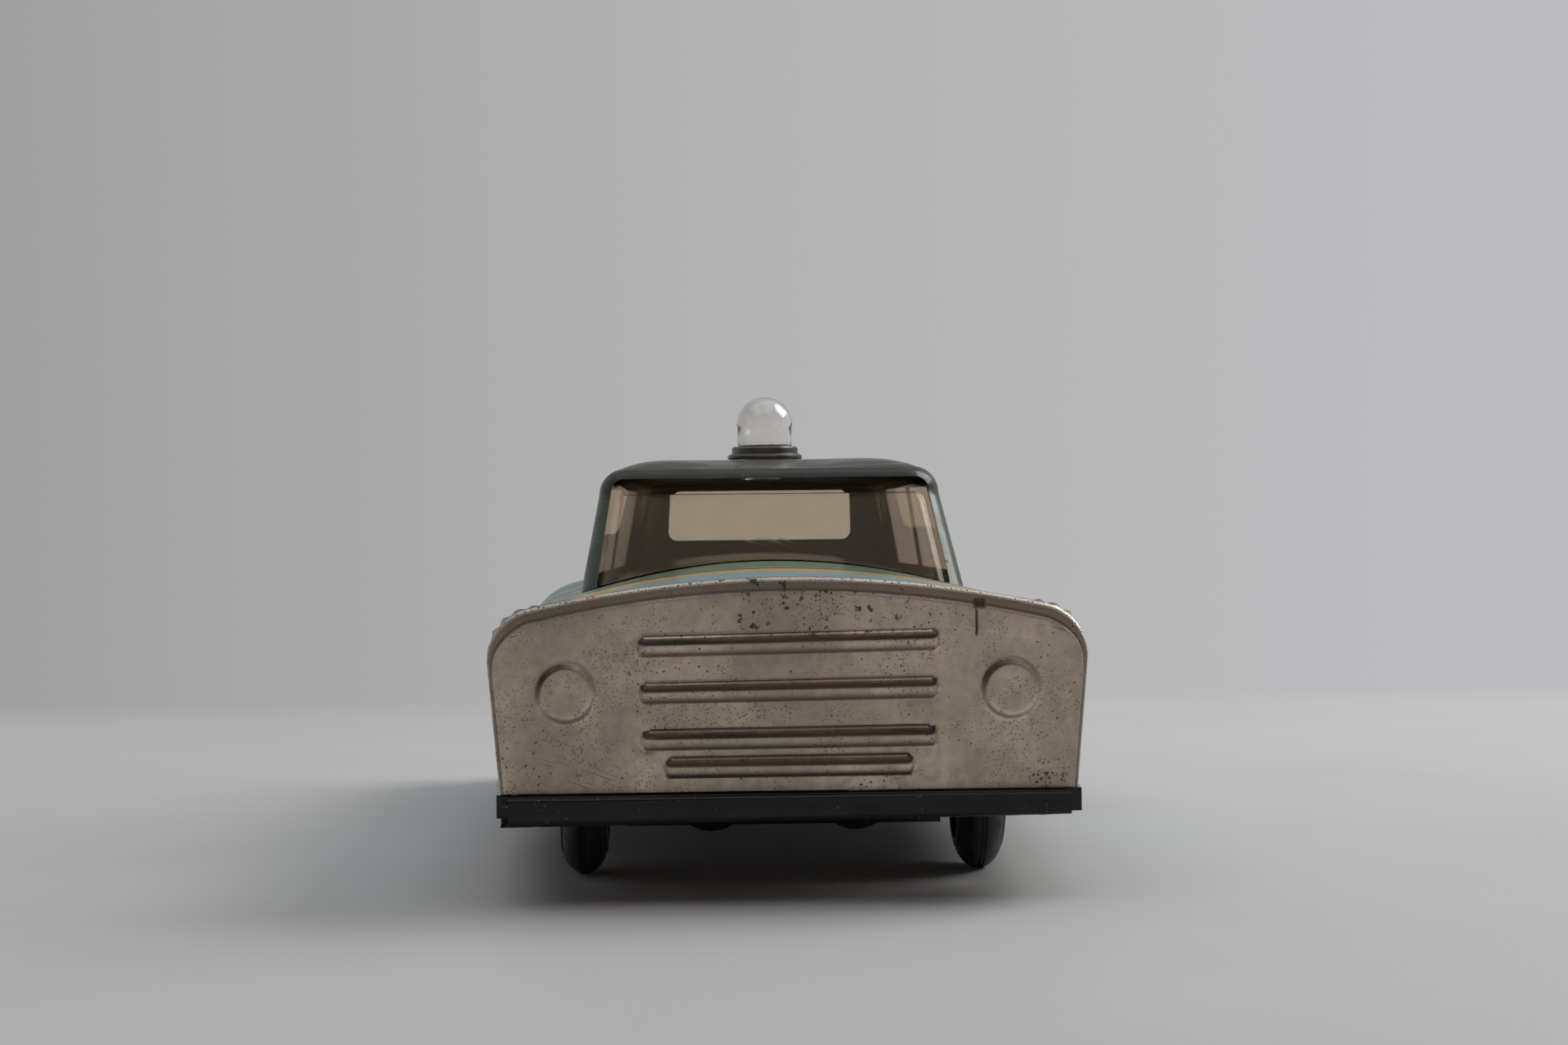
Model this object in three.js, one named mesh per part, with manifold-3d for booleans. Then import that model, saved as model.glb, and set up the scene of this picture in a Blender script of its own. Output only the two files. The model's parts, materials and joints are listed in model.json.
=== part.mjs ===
// A clockwork tin toy saloon with a beacon on its roof, made as its pressings, wire, gears and plastic parts.
// Millimetres. +X is the car's left side, +Y its tail, +Z up.
// The origin is on the flat pad pressed down from the chassis plate, on the centre line, half way along the body.
import * as THREE from "three";
import { mergeVertices } from "three/addons/utils/BufferGeometryUtils.js";
import Module from "manifold-3d";

const wasm = await Module();
wasm.setup();

// ---------------------------------------------------------------- driving dimensions

const sheet = 0.4; // tinplate
const seat = 0.1; // clearance where one piece rests on another
const trim = 0.3; // clearance where one piece is cut to the shape of another
const running = 0.1; // radial clearance of a shaft in its hole

const bodyLength = 144; // outer face of the grille to outer face of the tail panel
const endHalfWidth = 31; // of the two end panels at their widest
const sideBulge = 2.2; // how much wider each side is half way along the body
const sideLean = 1.2; // how far each side leans in between its widest and its foot
const endCrownRadius = 120; // of the arched top at the two ends
const middleCrownRadius = 75; // and half way along the body
const endShoulderRadius = 5.5; // where the side turns into the top, at the two ends
const middleShoulderRadius = 8;
const grilleTop = 22.4;
const tailTop = 20.9;
const beltTop = 23.2; // top of the body shell between the cowl and the rear window
const panelDepth = 3.4; // how far an end panel's flange reaches over the body shell
const foldRadius = 0.9; // of the bend between an end panel's face and its flange

const cowlInset = 48; // grille face to the foot of the windscreen
const rearDeckInset = 33; // tail face to the foot of the rear window
const cabinHalfWidth = 22.3; // at the belt
const roofHalfWidth = 20.4;
const windscreenRun = 11; // how far the screen leans back on its way up
const rearWindowRun = 8;
const cabinTaper = 3.4; // how much narrower each side is at the rear window than at the windscreen
const roofTop = 34.5; // at its edges
const roofCrown = 1.2; // from the roof's edges up to the flat under the beacon
const roofEdgeRadius = 3.2;
const frontCornerRadius = 5;
const rearCornerRadius = 9;
const glazingThickness = 0.6;

const chassisLip = 0.8; // how far the chassis plate stands out beyond the foot of the body
const chassisFlange = 2;
const padDrop = 0.4; // how far the flat pad stands below the chassis plate
const padHalfWidth = 9;
const padFront = -16;
const padBack = 4;
const bumperLength = 59.2;
const bumperHeight = 2.85;
const bumperDepth = 2.2;

const wheelRadius = 9;
const tyreWidth = 5.6;
const hubRadius = 5.6;
const wheelInset = 9; // widest point of an end panel to the middle of a tyre
const axleRadius = 1;
const axleDrop = 2.2; // axle centre below the chassis underside
const frontOverhang = 28; // grille face to front axle
const rearOverhang = 30; // tail face to rear axle
const steeringLead = 4.5; // steering pivot ahead of the front axle
const steeringAngle = 15; // each way, in degrees
const wheelWell = 3; // room round a tyre in the body's arch and the chassis opening

const gearModule = 0.8;
const greatTeeth = 28;
const middleTeeth = 24;
const pinionTeeth = 8;
const gearThickness = 1;
const pinionLength = 3;
const middleAngle = 130; // from the rear axle to the middle arbor, in degrees from +Y towards +Z
const windingRise = 0.9; // winding arbor above the middle arbor
const windingRadius = 1.5;
const middleRadius = 0.9;
const motorHalfWidth = 9.5; // inner faces of the two motor plates
const motorPlateThickness = 0.6;
const pillarRadius = 1.2;
const ratchetTeeth = 12;
const ratchetRadius = 4.6;
const ratchetDepth = 1.1;
const springTurns = 5;
const springWidth = 8;
const springThickness = 0.35;

const keyReach = 10.4; // of the key beyond the body's side
const keySpan = 17;
const keyThickness = 1.2;

const beaconRadius = 3.6;
const beaconHeight = 8;
const beaconWall = 0.6;
const collarRadius = 4.8;
const collarHeight = 1.6;

// ---------------------------------------------------------------- places worked out from them

const halfLength = bodyLength / 2;
const foot = sheet + seat; // the body and the end panels stand on the chassis plate
const shellHalfLength = halfLength - sheet - seat;
const straightFrom = halfLength - panelDepth - trim - 0.5; // the shell runs straight under the end panels
const shellEndHalfWidth = endHalfWidth - sheet - seat;
const cowlY = -halfLength + cowlInset;
const rearDeckY = halfLength - rearDeckInset;
const frontAxleY = -halfLength + frontOverhang;
const rearAxleY = halfLength - rearOverhang;
const steeringY = frontAxleY - steeringLead;
const wheelX = endHalfWidth - wheelInset;
const axleZ = -axleDrop;
const archRadius = wheelRadius + wheelWell;

const pitchRadius = (teeth) => (gearModule * teeth) / 2;
const middleHalfWidth = endHalfWidth + sideBulge;
const beaconY = cowlY + 30;
const middleDistance = pitchRadius(middleTeeth) + pitchRadius(pinionTeeth);
const windingDistance = pitchRadius(greatTeeth) + pitchRadius(pinionTeeth);
const middleY = rearAxleY + middleDistance * Math.cos(THREE.MathUtils.degToRad(middleAngle));
const middleZ = axleZ + middleDistance * Math.sin(THREE.MathUtils.degToRad(middleAngle));
const windingY = middleY - Math.sqrt(windingDistance ** 2 - windingRise ** 2);
const windingZ = middleZ + windingRise;
const motorOuter = motorHalfWidth + motorPlateThickness;

// Across the motor, from the right plate to the left: mainspring, great wheel, ratchet and click, middle gear.
const springX = -motorHalfWidth + 0.6;
const greatX = springX + springWidth + 0.8;
const ratchetX = greatX + gearThickness + 0.5;
const middleX = ratchetX + gearThickness + 1;

// ---------------------------------------------------------------- shaping tools

// A closed three.js geometry as a manifold-3d solid, and back.
function solidOf(geometry) {
  const bare = geometry.clone();
  bare.deleteAttribute("normal");
  bare.deleteAttribute("uv");
  const merged = mergeVertices(bare, 1e-4);
  return new wasm.Manifold(
    new wasm.Mesh({
      numProp: 3,
      vertProperties: merged.attributes.position.array,
      triVerts: new Uint32Array(merged.index.array),
    }),
  );
}

function geometryOf(solid) {
  const { vertProperties, triVerts } = solid.getMesh();
  const geometry = new THREE.BufferGeometry();
  geometry.setAttribute("position", new THREE.BufferAttribute(vertProperties, 3));
  geometry.setIndex(new THREE.BufferAttribute(triVerts, 1));
  geometry.computeVertexNormals();
  return geometry;
}

function join(first, ...others) {
  return geometryOf(others.reduce((whole, other) => whole.add(solidOf(other)), solidOf(first)));
}

function cut(blank, ...tools) {
  return geometryOf(tools.reduce((left, tool) => left.subtract(solidOf(tool)), solidOf(blank)));
}

function box(x0, x1, y0, y1, z0, z1) {
  const geometry = new THREE.BoxGeometry(x1 - x0, y1 - y0, z1 - z0);
  return geometry.translate((x0 + x1) / 2, (y0 + y1) / 2, (z0 + z1) / 2);
}

// A slab between two X planes whose outline is drawn in Y and Z.
function slab(outline, x0, x1, curveSegments = 12) {
  const geometry = new THREE.ExtrudeGeometry(outline, {
    depth: x1 - x0,
    bevelEnabled: false,
    curveSegments,
  });
  const turn = new THREE.Matrix4().makeBasis(
    new THREE.Vector3(0, 1, 0),
    new THREE.Vector3(0, 0, 1),
    new THREE.Vector3(1, 0, 0),
  );
  return geometry.applyMatrix4(turn).translate(x0, 0, 0);
}

// A slab between two Z planes whose outline is drawn in X and Y.
function layer(outline, z0, z1, curveSegments = 12) {
  const geometry = new THREE.ExtrudeGeometry(outline, {
    depth: z1 - z0,
    bevelEnabled: false,
    curveSegments,
  });
  return geometry.translate(0, 0, z0);
}

// A round bar along X, centred on that axis.
function rod(radius, x0, x1, sides = 16) {
  const geometry = new THREE.CylinderGeometry(radius, radius, x1 - x0, sides);
  return geometry.rotateZ(-Math.PI / 2).translate((x0 + x1) / 2, 0, 0);
}

// A round bar along Z.
function post(radius, z0, z1, sides = 16) {
  const geometry = new THREE.CylinderGeometry(radius, radius, z1 - z0, sides);
  return geometry.rotateX(Math.PI / 2).translate(0, 0, (z0 + z1) / 2);
}

// Turned about X. The profile's points are [radius, x] and close on themselves or on the axis.
function turnedOnX(profile, sides = 20) {
  const points = profile.map(([radius, x]) => new THREE.Vector2(radius, x));
  const geometry = new THREE.LatheGeometry(points, sides);
  return geometry.rotateZ(-Math.PI / 2).rotateX(Math.PI / sides);
}

// Turned about Z. The profile's points are [radius, z].
function turnedOnZ(profile, sides = 20) {
  const points = profile.map(([radius, z]) => new THREE.Vector2(radius, z));
  return new THREE.LatheGeometry(points, sides).rotateX(Math.PI / 2);
}

// A solid through rings of equally many points, closed with a fan at each end.
// Each ring runs anticlockwise about the direction in which the rings follow each other.
function loft(rings) {
  const size = rings[0].length;
  const points = rings.flat();
  const faces = [];
  rings.slice(1).forEach((_, r) => {
    for (let i = 0; i < size; i++) {
      const [a, b] = [r * size + i, r * size + ((i + 1) % size)];
      faces.push(a, b, b + size, a, b + size, a + size);
    }
  });
  const cap = (ring, first, forwards) => {
    const centre = points.push(meanOf(ring)) - 1;
    for (let i = 0; i < size; i++) {
      const [a, b] = [first + i, first + ((i + 1) % size)];
      faces.push(centre, ...(forwards ? [a, b] : [b, a]));
    }
  };
  cap(rings[0], 0, false);
  cap(rings.at(-1), (rings.length - 1) * size, true);
  const geometry = new THREE.BufferGeometry().setFromPoints(points);
  geometry.setIndex(faces);
  return geometry;
}

function meanOf(points) {
  const sum = points.reduce((total, point) => total.add(point), new THREE.Vector3());
  return sum.divideScalar(points.length);
}

function steps(from, to, count) {
  return Array.from({ length: count + 1 }, (_, i) => from + ((to - from) * i) / count);
}

const polar = (radius, degrees) => {
  const angle = THREE.MathUtils.degToRad(degrees);
  return new THREE.Vector2(radius * Math.cos(angle), radius * Math.sin(angle));
};

function roundHole(outline, y, z, radius) {
  const centre = new THREE.Vector2(y, z);
  const rim = steps(0, -360, 16).slice(1).map((angle) => polar(radius, angle).add(centre));
  outline.holes.push(new THREE.Path(rim));
  return outline;
}

// ---------------------------------------------------------------- body pressings

// The body's cross-section at y: a leaning side, a round shoulder and an arched top, from foot to foot.
function bodySection(y, halfWidth, top, inset, footZ) {
  const along = Math.min(1, Math.abs(y) / straightFrom) ** 2;
  const shoulderRadius = THREE.MathUtils.lerp(middleShoulderRadius, endShoulderRadius, along);
  const crownRadius = THREE.MathUtils.lerp(middleCrownRadius, endCrownRadius, along);
  const radius = shoulderRadius - inset;
  const crown = crownRadius - inset;
  const centreX = halfWidth - shoulderRadius;
  const slope = Math.asin(centreX / (crown - radius));
  const crownZ = top - crownRadius;
  const centreZ = crownZ + (crown - radius) * Math.cos(slope);
  const footX = halfWidth - inset - (sideLean * (centreZ - footZ)) / (centreZ - foot);
  const at = (x, z) => new THREE.Vector3(x, y, z);
  const shoulder = steps(0, Math.PI / 2 - slope, 4).map((a) => [
    centreX + radius * Math.cos(a),
    centreZ + radius * Math.sin(a),
  ]);
  const arch = steps(slope, -slope, 6)
    .slice(1, -1)
    .map((a) => at(crown * -Math.sin(a), crownZ + crown * Math.cos(a)));
  return [
    at(-footX, footZ),
    ...shoulder.map(([x, z]) => at(-x, z)),
    ...arch,
    ...shoulder.map(([x, z]) => at(x, z)).reverse(),
    at(footX, footZ),
  ];
}

function shellHalfWidth(y) {
  const along = Math.min(1, Math.abs(y) / straightFrom);
  return middleHalfWidth - (middleHalfWidth - shellEndHalfWidth) * along ** 2;
}

// The top of the shell falls away from the cowl to the grille and from the rear window to the tail.
function shellTop(y) {
  const [edge, end, endTop] =
    y < 0 ? [cowlY, -straightFrom, grilleTop] : [rearDeckY, straightFrom, tailTop];
  const along = THREE.MathUtils.clamp((y - edge) / (end - edge), 0, 1);
  return beltTop - (beltTop - (endTop - sheet - seat)) * along ** 2;
}

// The whole volume under the body shell's skin, taken in by inset and run past the ends by overrun.
function bodyForm(inset, overrun, footZ) {
  const end = shellHalfLength + overrun;
  const stations = [-end, ...steps(-straightFrom, straightFrom, 8), end];
  return loft(stations.map((y) => bodySection(y, shellHalfWidth(y), shellTop(y), inset, footZ)));
}

const tabLength = 4;
const tabX = shellEndHalfWidth - sideLean - 2.2;
const tabStations = [-halfLength + 6.4, frontAxleY + archRadius + 18, halfLength - 9];

// A tab that steps in from the foot of the side, goes down a slot and is bent over inwards.
function bodyTab(side, y) {
  const footX = shellHalfWidth(y) - sideLean - sheet / 2;
  const [y0, y1] = [y - tabLength / 2, y + tabLength / 2];
  const across = (inner, outer, z0, z1) =>
    box(Math.min(side * inner, side * outer), Math.max(side * inner, side * outer), y0, y1, z0, z1);
  return join(
    across(tabX, footX, foot, foot + sheet),
    across(tabX, tabX + sheet, -seat - sheet, foot + sheet),
    across(tabX - 2, tabX + sheet, -seat - sheet, -seat),
  );
}

function bodyTabSlots() {
  return [-1, 1].flatMap((side) =>
    tabStations.map((y) => {
      const [x0, x1] = [side * (tabX - seat), side * (tabX + sheet + seat)];
      const half = tabLength / 2 + seat;
      return box(Math.min(x0, x1), Math.max(x0, x1), y - half, y + half, -1, 1);
    }),
  );
}

function bodyShell() {
  const arches = [frontAxleY, rearAxleY].map((y) =>
    rod(archRadius, -50, 50, 32).translate(0, y, axleZ),
  );
  const keyHole = rod(windingRadius + 1, 0, 50).translate(0, windingY, windingZ);
  const skin = cut(bodyForm(0, 0, foot), bodyForm(sheet, 5, foot - 5), ...arches, keyHole);
  const tabs = [-1, 1].flatMap((side) => tabStations.map((y) => bodyTab(side, y)));
  return join(skin, ...tabs);
}

// A long bead pressed out of an end panel, open behind. facing is -1 at the grille and 1 at the tail.
const beadRadius = 0.88;
function bead(reach, z, radius) {
  const geometry = new THREE.CapsuleGeometry(radius, 2 * (reach - beadRadius), 2, 8);
  return geometry.rotateZ(Math.PI / 2).translate(0, 0, z);
}

// A flat-topped round pressed out of an end panel.
const lampRadius = 3.15;
const lampRise = 0.7;
function lamp(facing, x, z, inset) {
  const rim = lampRadius - inset;
  const [back, front] = [-1, lampRise - inset];
  const geometry = turnedOnZ(
    [
      [0, back],
      [rim, back],
      [rim, 0],
      [rim - 0.45, front],
      [0, front],
    ],
    16,
  );
  return geometry.rotateX(facing * -Math.PI / 2).translate(x, 0, z);
}

// The tinplate cap over one end of the body: an arched face with beads and lamps, and a flange all round it.
function endPanel(facing, top, beads, lamps) {
  const face = facing * halfLength;
  const ring = (depth, inset, footZ) =>
    bodySection(face - facing * depth, endHalfWidth, top, inset, footZ);
  const ordered = (rings) => (facing < 0 ? rings : rings.reverse());
  const bend = steps(0, Math.PI / 2, 3).map((a) =>
    ring(foldRadius * (1 - Math.sin(a)), foldRadius * (1 - Math.cos(a)), foot),
  );
  const cap = loft(ordered([...bend.reverse(), ring(panelDepth, 0, foot)]));
  const pocket = loft(ordered([ring(sheet, sheet, foot - 5), ring(panelDepth + 5, sheet, foot - 5)]));
  const beadLine = face - facing * 0.13;
  const raised = [
    ...beads.map(([half, z]) => bead(half, z, beadRadius).translate(0, beadLine, 0)),
    ...lamps.map(([x, z]) => lamp(facing, x, z, 0).translate(0, face, 0)),
  ];
  const hollows = [
    ...beads.map(([half, z]) => bead(half, z, beadRadius - sheet).translate(0, beadLine, 0)),
    ...lamps.map(([x, z]) => lamp(facing, x, z, sheet).translate(0, face, 0)),
  ];
  const inside = [face - facing * sheet, face - facing * 5].sort((a, b) => a - b);
  const behind = box(-50, 50, ...inside, -5, 50);
  const fronts = raised.map((shape) => cut(shape, behind));
  return cut(join(cut(cap, pocket), ...fronts), ...hollows);
}

const lampX = endHalfWidth - 8.1;
const lampZ = 10.7;

function grillePanel() {
  const longBead = endHalfWidth / 2;
  const beads = [
    [longBead, 15.7],
    [longBead, 10.8],
    [longBead, 5.9],
    [longBead - 3, 3.1],
  ];
  return endPanel(-1, grilleTop, beads, [
    [-lampX, lampZ],
    [lampX, lampZ],
  ]);
}

function tailPanel() {
  const beads = [
    [endHalfWidth / 2, 15.2],
    [endHalfWidth / 2 - 3, 3.4],
  ];
  return endPanel(1, tailTop, beads, [
    [-lampX, lampZ],
    [lampX, lampZ],
  ]);
}

// ---------------------------------------------------------------- cabin

// A level ring round the cabin at height z, taken in by inset, with wider corners at the back.
function cabinRing(z, inset, wallZ = z) {
  const up = (wallZ - beltTop) / (roofTop - beltTop);
  const halfWidth = THREE.MathUtils.lerp(cabinHalfWidth, roofHalfWidth, up) - inset;
  const front = cowlY + windscreenRun * up + inset;
  const back = rearDeckY - rearWindowRun * up - inset;
  const frontRadius = frontCornerRadius - inset;
  const backRadius = rearCornerRadius - inset;
  const corner = (x, y, radius, from) =>
    steps(from, from + 90, 3).map((a) => {
      const offset = polar(radius, a);
      return new THREE.Vector3(x + offset.x, y + offset.y, z);
    });
  const backX = halfWidth - cabinTaper - backRadius;
  return [
    ...corner(backX, back - backRadius, backRadius, 0),
    ...corner(-backX, back - backRadius, backRadius, 90),
    ...corner(-halfWidth + frontRadius, front + frontRadius, frontRadius, 180),
    ...corner(halfWidth - frontRadius, front + frontRadius, frontRadius, 270),
  ];
}

// The cabin's volume: leaning walls, a round roof edge and a crowned roof with a flat for the beacon.
function cabinForm(inset, fromZ) {
  const edgeZ = roofTop - roofEdgeRadius;
  const edge = steps(0, 80, 3).map((a) => {
    const offset = polar(roofEdgeRadius - inset, a);
    return cabinRing(edgeZ + offset.y, roofEdgeRadius - offset.x, edgeZ);
  });
  const flat = new THREE.Vector3(0, beaconY, roofTop + roofCrown - inset);
  const crown = [0.35, 0.65].map((share) =>
    edge.at(-1).map((point) => {
      const moved = point.clone().lerp(flat, share);
      moved.z = flat.z - roofCrown * (1 - share / 0.65) ** 2;
      return moved;
    }),
  );
  return loft([cabinRing(fromZ, inset), ...edge, ...crown]);
}

// A rounded four-sided window in a wall seen along Y, from its half-widths at the sill and at the top.
function windowAlongY(sillHalf, topHalf, sillZ, topZ, y0, y1) {
  const outline = new THREE.Shape();
  const radius = 1.5;
  outline.moveTo(-sillHalf + radius, sillZ);
  outline.lineTo(sillHalf - radius, sillZ);
  outline.quadraticCurveTo(sillHalf, sillZ, sillHalf, sillZ + radius);
  outline.lineTo(topHalf, topZ - radius);
  outline.quadraticCurveTo(topHalf, topZ, topHalf - radius, topZ);
  outline.lineTo(-topHalf + radius, topZ);
  outline.quadraticCurveTo(-topHalf, topZ, -topHalf, topZ - radius);
  outline.lineTo(-sillHalf, sillZ + radius);
  outline.quadraticCurveTo(-sillHalf, sillZ, -sillHalf + radius, sillZ);
  const geometry = new THREE.ExtrudeGeometry(outline, {
    depth: y1 - y0,
    bevelEnabled: false,
    curveSegments: 4,
  });
  return geometry.rotateX(Math.PI / 2).translate(0, y1, 0);
}

// A side window seen along X, from where its front and back edges stand at the sill and at the top.
function windowAlongX(sillFront, sillBack, topFront, topBack, sillZ, topZ) {
  const outline = new THREE.Shape();
  const radius = 1.2;
  outline.moveTo(sillFront + radius, sillZ);
  outline.lineTo(sillBack - radius, sillZ);
  outline.quadraticCurveTo(sillBack, sillZ, sillBack, sillZ + radius);
  outline.lineTo(topBack, topZ - radius);
  outline.quadraticCurveTo(topBack, topZ, topBack - radius, topZ);
  outline.lineTo(topFront + radius, topZ);
  outline.quadraticCurveTo(topFront, topZ, topFront, topZ - radius);
  outline.lineTo(sillFront, sillZ + radius);
  outline.quadraticCurveTo(sillFront, sillZ, sillFront + radius, sillZ);
  return slab(outline, -50, 50, 4);
}

const pillar = 1.4; // width of the pillars between the side windows
const screenPillar = 1.2; // width of the two pillars beside the windscreen, seen from the front
const windowTop = roofTop - 2.2;
const screenTop = windowTop + 0.9;
const screenFoot = beltTop - 3.6; // below the bonnet's arch, so the screen has no sill
const sideSill = beltTop - 1.4;
const rearSill = beltTop + 1.8;
const rearWindowHalfWidth = 12.8;
const cabinMiddleY = (cowlY + rearDeckY) / 2;
const doorPillarY = cabinMiddleY - 1;

function windowOpenings() {
  const up = (windowTop - beltTop) / (roofTop - beltTop);
  const screen = windowAlongY(
    cabinHalfWidth - screenPillar,
    roofHalfWidth - screenPillar,
    screenFoot,
    screenTop,
    cowlY - 10,
    cabinMiddleY - 8,
  );
  const rear = windowAlongY(
    rearWindowHalfWidth,
    rearWindowHalfWidth - 0.4,
    rearSill,
    windowTop,
    cabinMiddleY + 8,
    rearDeckY + 10,
  );
  const frontDoor = windowAlongX(
    cowlY + frontCornerRadius + pillar,
    doorPillarY - pillar / 2,
    cowlY + frontCornerRadius + pillar + windscreenRun * up,
    doorPillarY - pillar / 2,
    sideSill,
    windowTop,
  );
  const quarter = windowAlongX(
    doorPillarY + pillar / 2,
    rearDeckY - rearCornerRadius - pillar,
    doorPillarY + pillar / 2,
    rearDeckY - rearCornerRadius - pillar - (rearWindowRun * up) / 2,
    sideSill,
    windowTop,
  );
  return [screen, rear, frontDoor, quarter];
}

function cabinShell() {
  const deck = bodyForm(-trim, 0, foot);
  const beaconHole = post(beaconRadius - beaconWall, roofTop - 5, roofTop + 5, 16).translate(0, beaconY, 0);
  return cut(
    cabinForm(0, beltTop - 4),
    cabinForm(sheet, beltTop - 5),
    deck,
    ...windowOpenings(),
    beaconHole,
  );
}

// One moulded band of tinted plastic behind all the windows.
function glazingBand() {
  const inset = sheet + trim;
  return cut(
    cabinForm(inset, beltTop - 4),
    cabinForm(inset + glazingThickness, beltTop - 5),
    box(-50, 50, -50, 50, screenTop + 0.4, 50),
    bodyForm(-trim, 0, foot),
  );
}

const beaconFoot = roofTop + roofCrown + seat;

function beaconCollar() {
  const bore = beaconRadius + seat;
  return turnedOnZ([
    [bore, 0],
    [collarRadius, 0],
    [collarRadius, collarHeight * 0.45],
    [bore + 0.7, collarHeight],
    [bore, collarHeight],
    [bore, 0],
  ]);
}

// A clear dome, open underneath, that stands in the collar.
function beaconDome() {
  const straight = beaconHeight - beaconRadius;
  const arc = (radius) => steps(0, 90, 4).map((a) => polar(radius, a));
  const outer = arc(beaconRadius).map(({ x, y }) => [x, straight + y]);
  const inner = arc(beaconRadius - beaconWall).map(({ x, y }) => [x, straight + y]);
  return turnedOnZ([
    [beaconRadius - beaconWall, 0],
    [beaconRadius, 0],
    ...outer.slice(0, -1),
    [0, beaconHeight],
    [0, beaconHeight - beaconWall],
    ...inner.slice(0, -1).reverse(),
    [beaconRadius - beaconWall, 0],
  ]);
}

// ---------------------------------------------------------------- chassis

function chassisOutline(inset) {
  const end = halfLength - seat - inset;
  const side = steps(-end, end, 12).map((y) => {
    const half = shellHalfWidth(y) - sideLean + chassisLip - inset;
    return new THREE.Vector2(half, y);
  });
  const other = side.map(({ x, y }) => new THREE.Vector2(-x, y)).reverse();
  return new THREE.Shape([...side, ...other]);
}

const motorFront = windingY - 12.4;
const motorBack = rearAxleY + 8;
const bumperTabX = bumperLength / 2 - 12;
const steerSweep = THREE.MathUtils.degToRad(steeringAngle);

function mirrored(make) {
  return [make(-1), make(1)];
}

function wheelOpening(side, y0, y1, x0, x1) {
  return box(Math.min(side * x0, side * x1), Math.max(side * x0, side * x1), y0, y1, -5, 5);
}

function chassisPlate() {
  const blank = layer(chassisOutline(0), -chassisFlange, sheet);
  const under = layer(chassisOutline(sheet), -chassisFlange - 1, 0);
  const inner = wheelX - tyreWidth / 2;
  const outer = wheelX + tyreWidth / 2;
  const reach = wheelRadius + steeringLead;
  const swing = outer * Math.sin(steerSweep);
  const frontWells = mirrored((side) =>
    wheelOpening(
      side,
      steeringY - (wheelRadius - steeringLead) - swing - 1,
      steeringY + reach + swing + 0.5,
      inner - reach * Math.sin(steerSweep) - wheelX * (1 - Math.cos(steerSweep)) - 0.5,
      outer + reach * Math.sin(steerSweep) + 0.4,
    ),
  );
  const rearWells = mirrored((side) =>
    wheelOpening(
      side,
      rearAxleY - wheelRadius - 1.5,
      rearAxleY + wheelRadius + 1.5,
      inner - 1.5,
      outer + 1.5,
    ),
  );
  const motorWell = box(-motorOuter - 0.5, motorOuter + 0.5, motorFront - 1, motorBack + 1, -5, 5);
  const pivot = post(rivetRadius + running, -5, 5).translate(0, steeringY, 0);
  const bumperSlots = [-halfLength, halfLength].flatMap((end) =>
    mirrored((side) =>
      box(
        side * bumperTabX - 1.6,
        side * bumperTabX + 1.6,
        end - 2,
        end + 2,
        -1.2 - seat,
        -1.2 + sheet + seat,
      ),
    ),
  );
  const pad = box(-padHalfWidth, padHalfWidth, padFront, padBack, -padDrop, sheet / 2);
  const padHollow = box(
    -padHalfWidth + sheet,
    padHalfWidth - sheet,
    padFront + sheet,
    padBack - sheet,
    sheet - padDrop,
    5,
  );
  return cut(
    join(cut(blank, under), pad),
    padHollow,
    ...frontWells,
    ...rearWells,
    motorWell,
    pivot,
    ...bumperSlots,
    ...bodyTabSlots(),
  );
}

// A rolled tinplate tube, flattened, open at both ends, with two tabs through the chassis flange.
function bumper() {
  const outline = (inset) => {
    const half = bumperHeight / 2 - inset;
    const flat = bumperDepth / 2 - inset;
    const radius = Math.min(half, flat) * 0.95;
    const path = new THREE.Shape();
    path.absarc(flat - radius, half - radius, radius, 0, Math.PI / 2);
    path.absarc(-flat + radius, half - radius, radius, Math.PI / 2, Math.PI);
    path.absarc(-flat + radius, -half + radius, radius, Math.PI, 1.5 * Math.PI);
    path.absarc(flat - radius, -half + radius, radius, 1.5 * Math.PI, 2 * Math.PI);
    return path;
  };
  const tube = cut(
    slab(outline(0), -bumperLength / 2, bumperLength / 2, 4),
    slab(outline(sheet), -bumperLength, bumperLength, 4),
  );
  const tabs = mirrored((side) => {
    const [y0, y1] = [bumperDepth / 2 - sheet / 2, bumperDepth / 2 + 2];
    return box(side * bumperTabX - 1.5, side * bumperTabX + 1.5, y0, y1, 0, sheet);
  });
  return join(tube, ...tabs);
}

// ---------------------------------------------------------------- steering bracket and wheels

const rivetRadius = 1.5;
const bracketHalfWidth = wheelX - tyreWidth / 2 - 2;
const bracketHalfDepth = 8;
const bracketDrop = 5.1;
const lobeDrop = 0.7;

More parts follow.
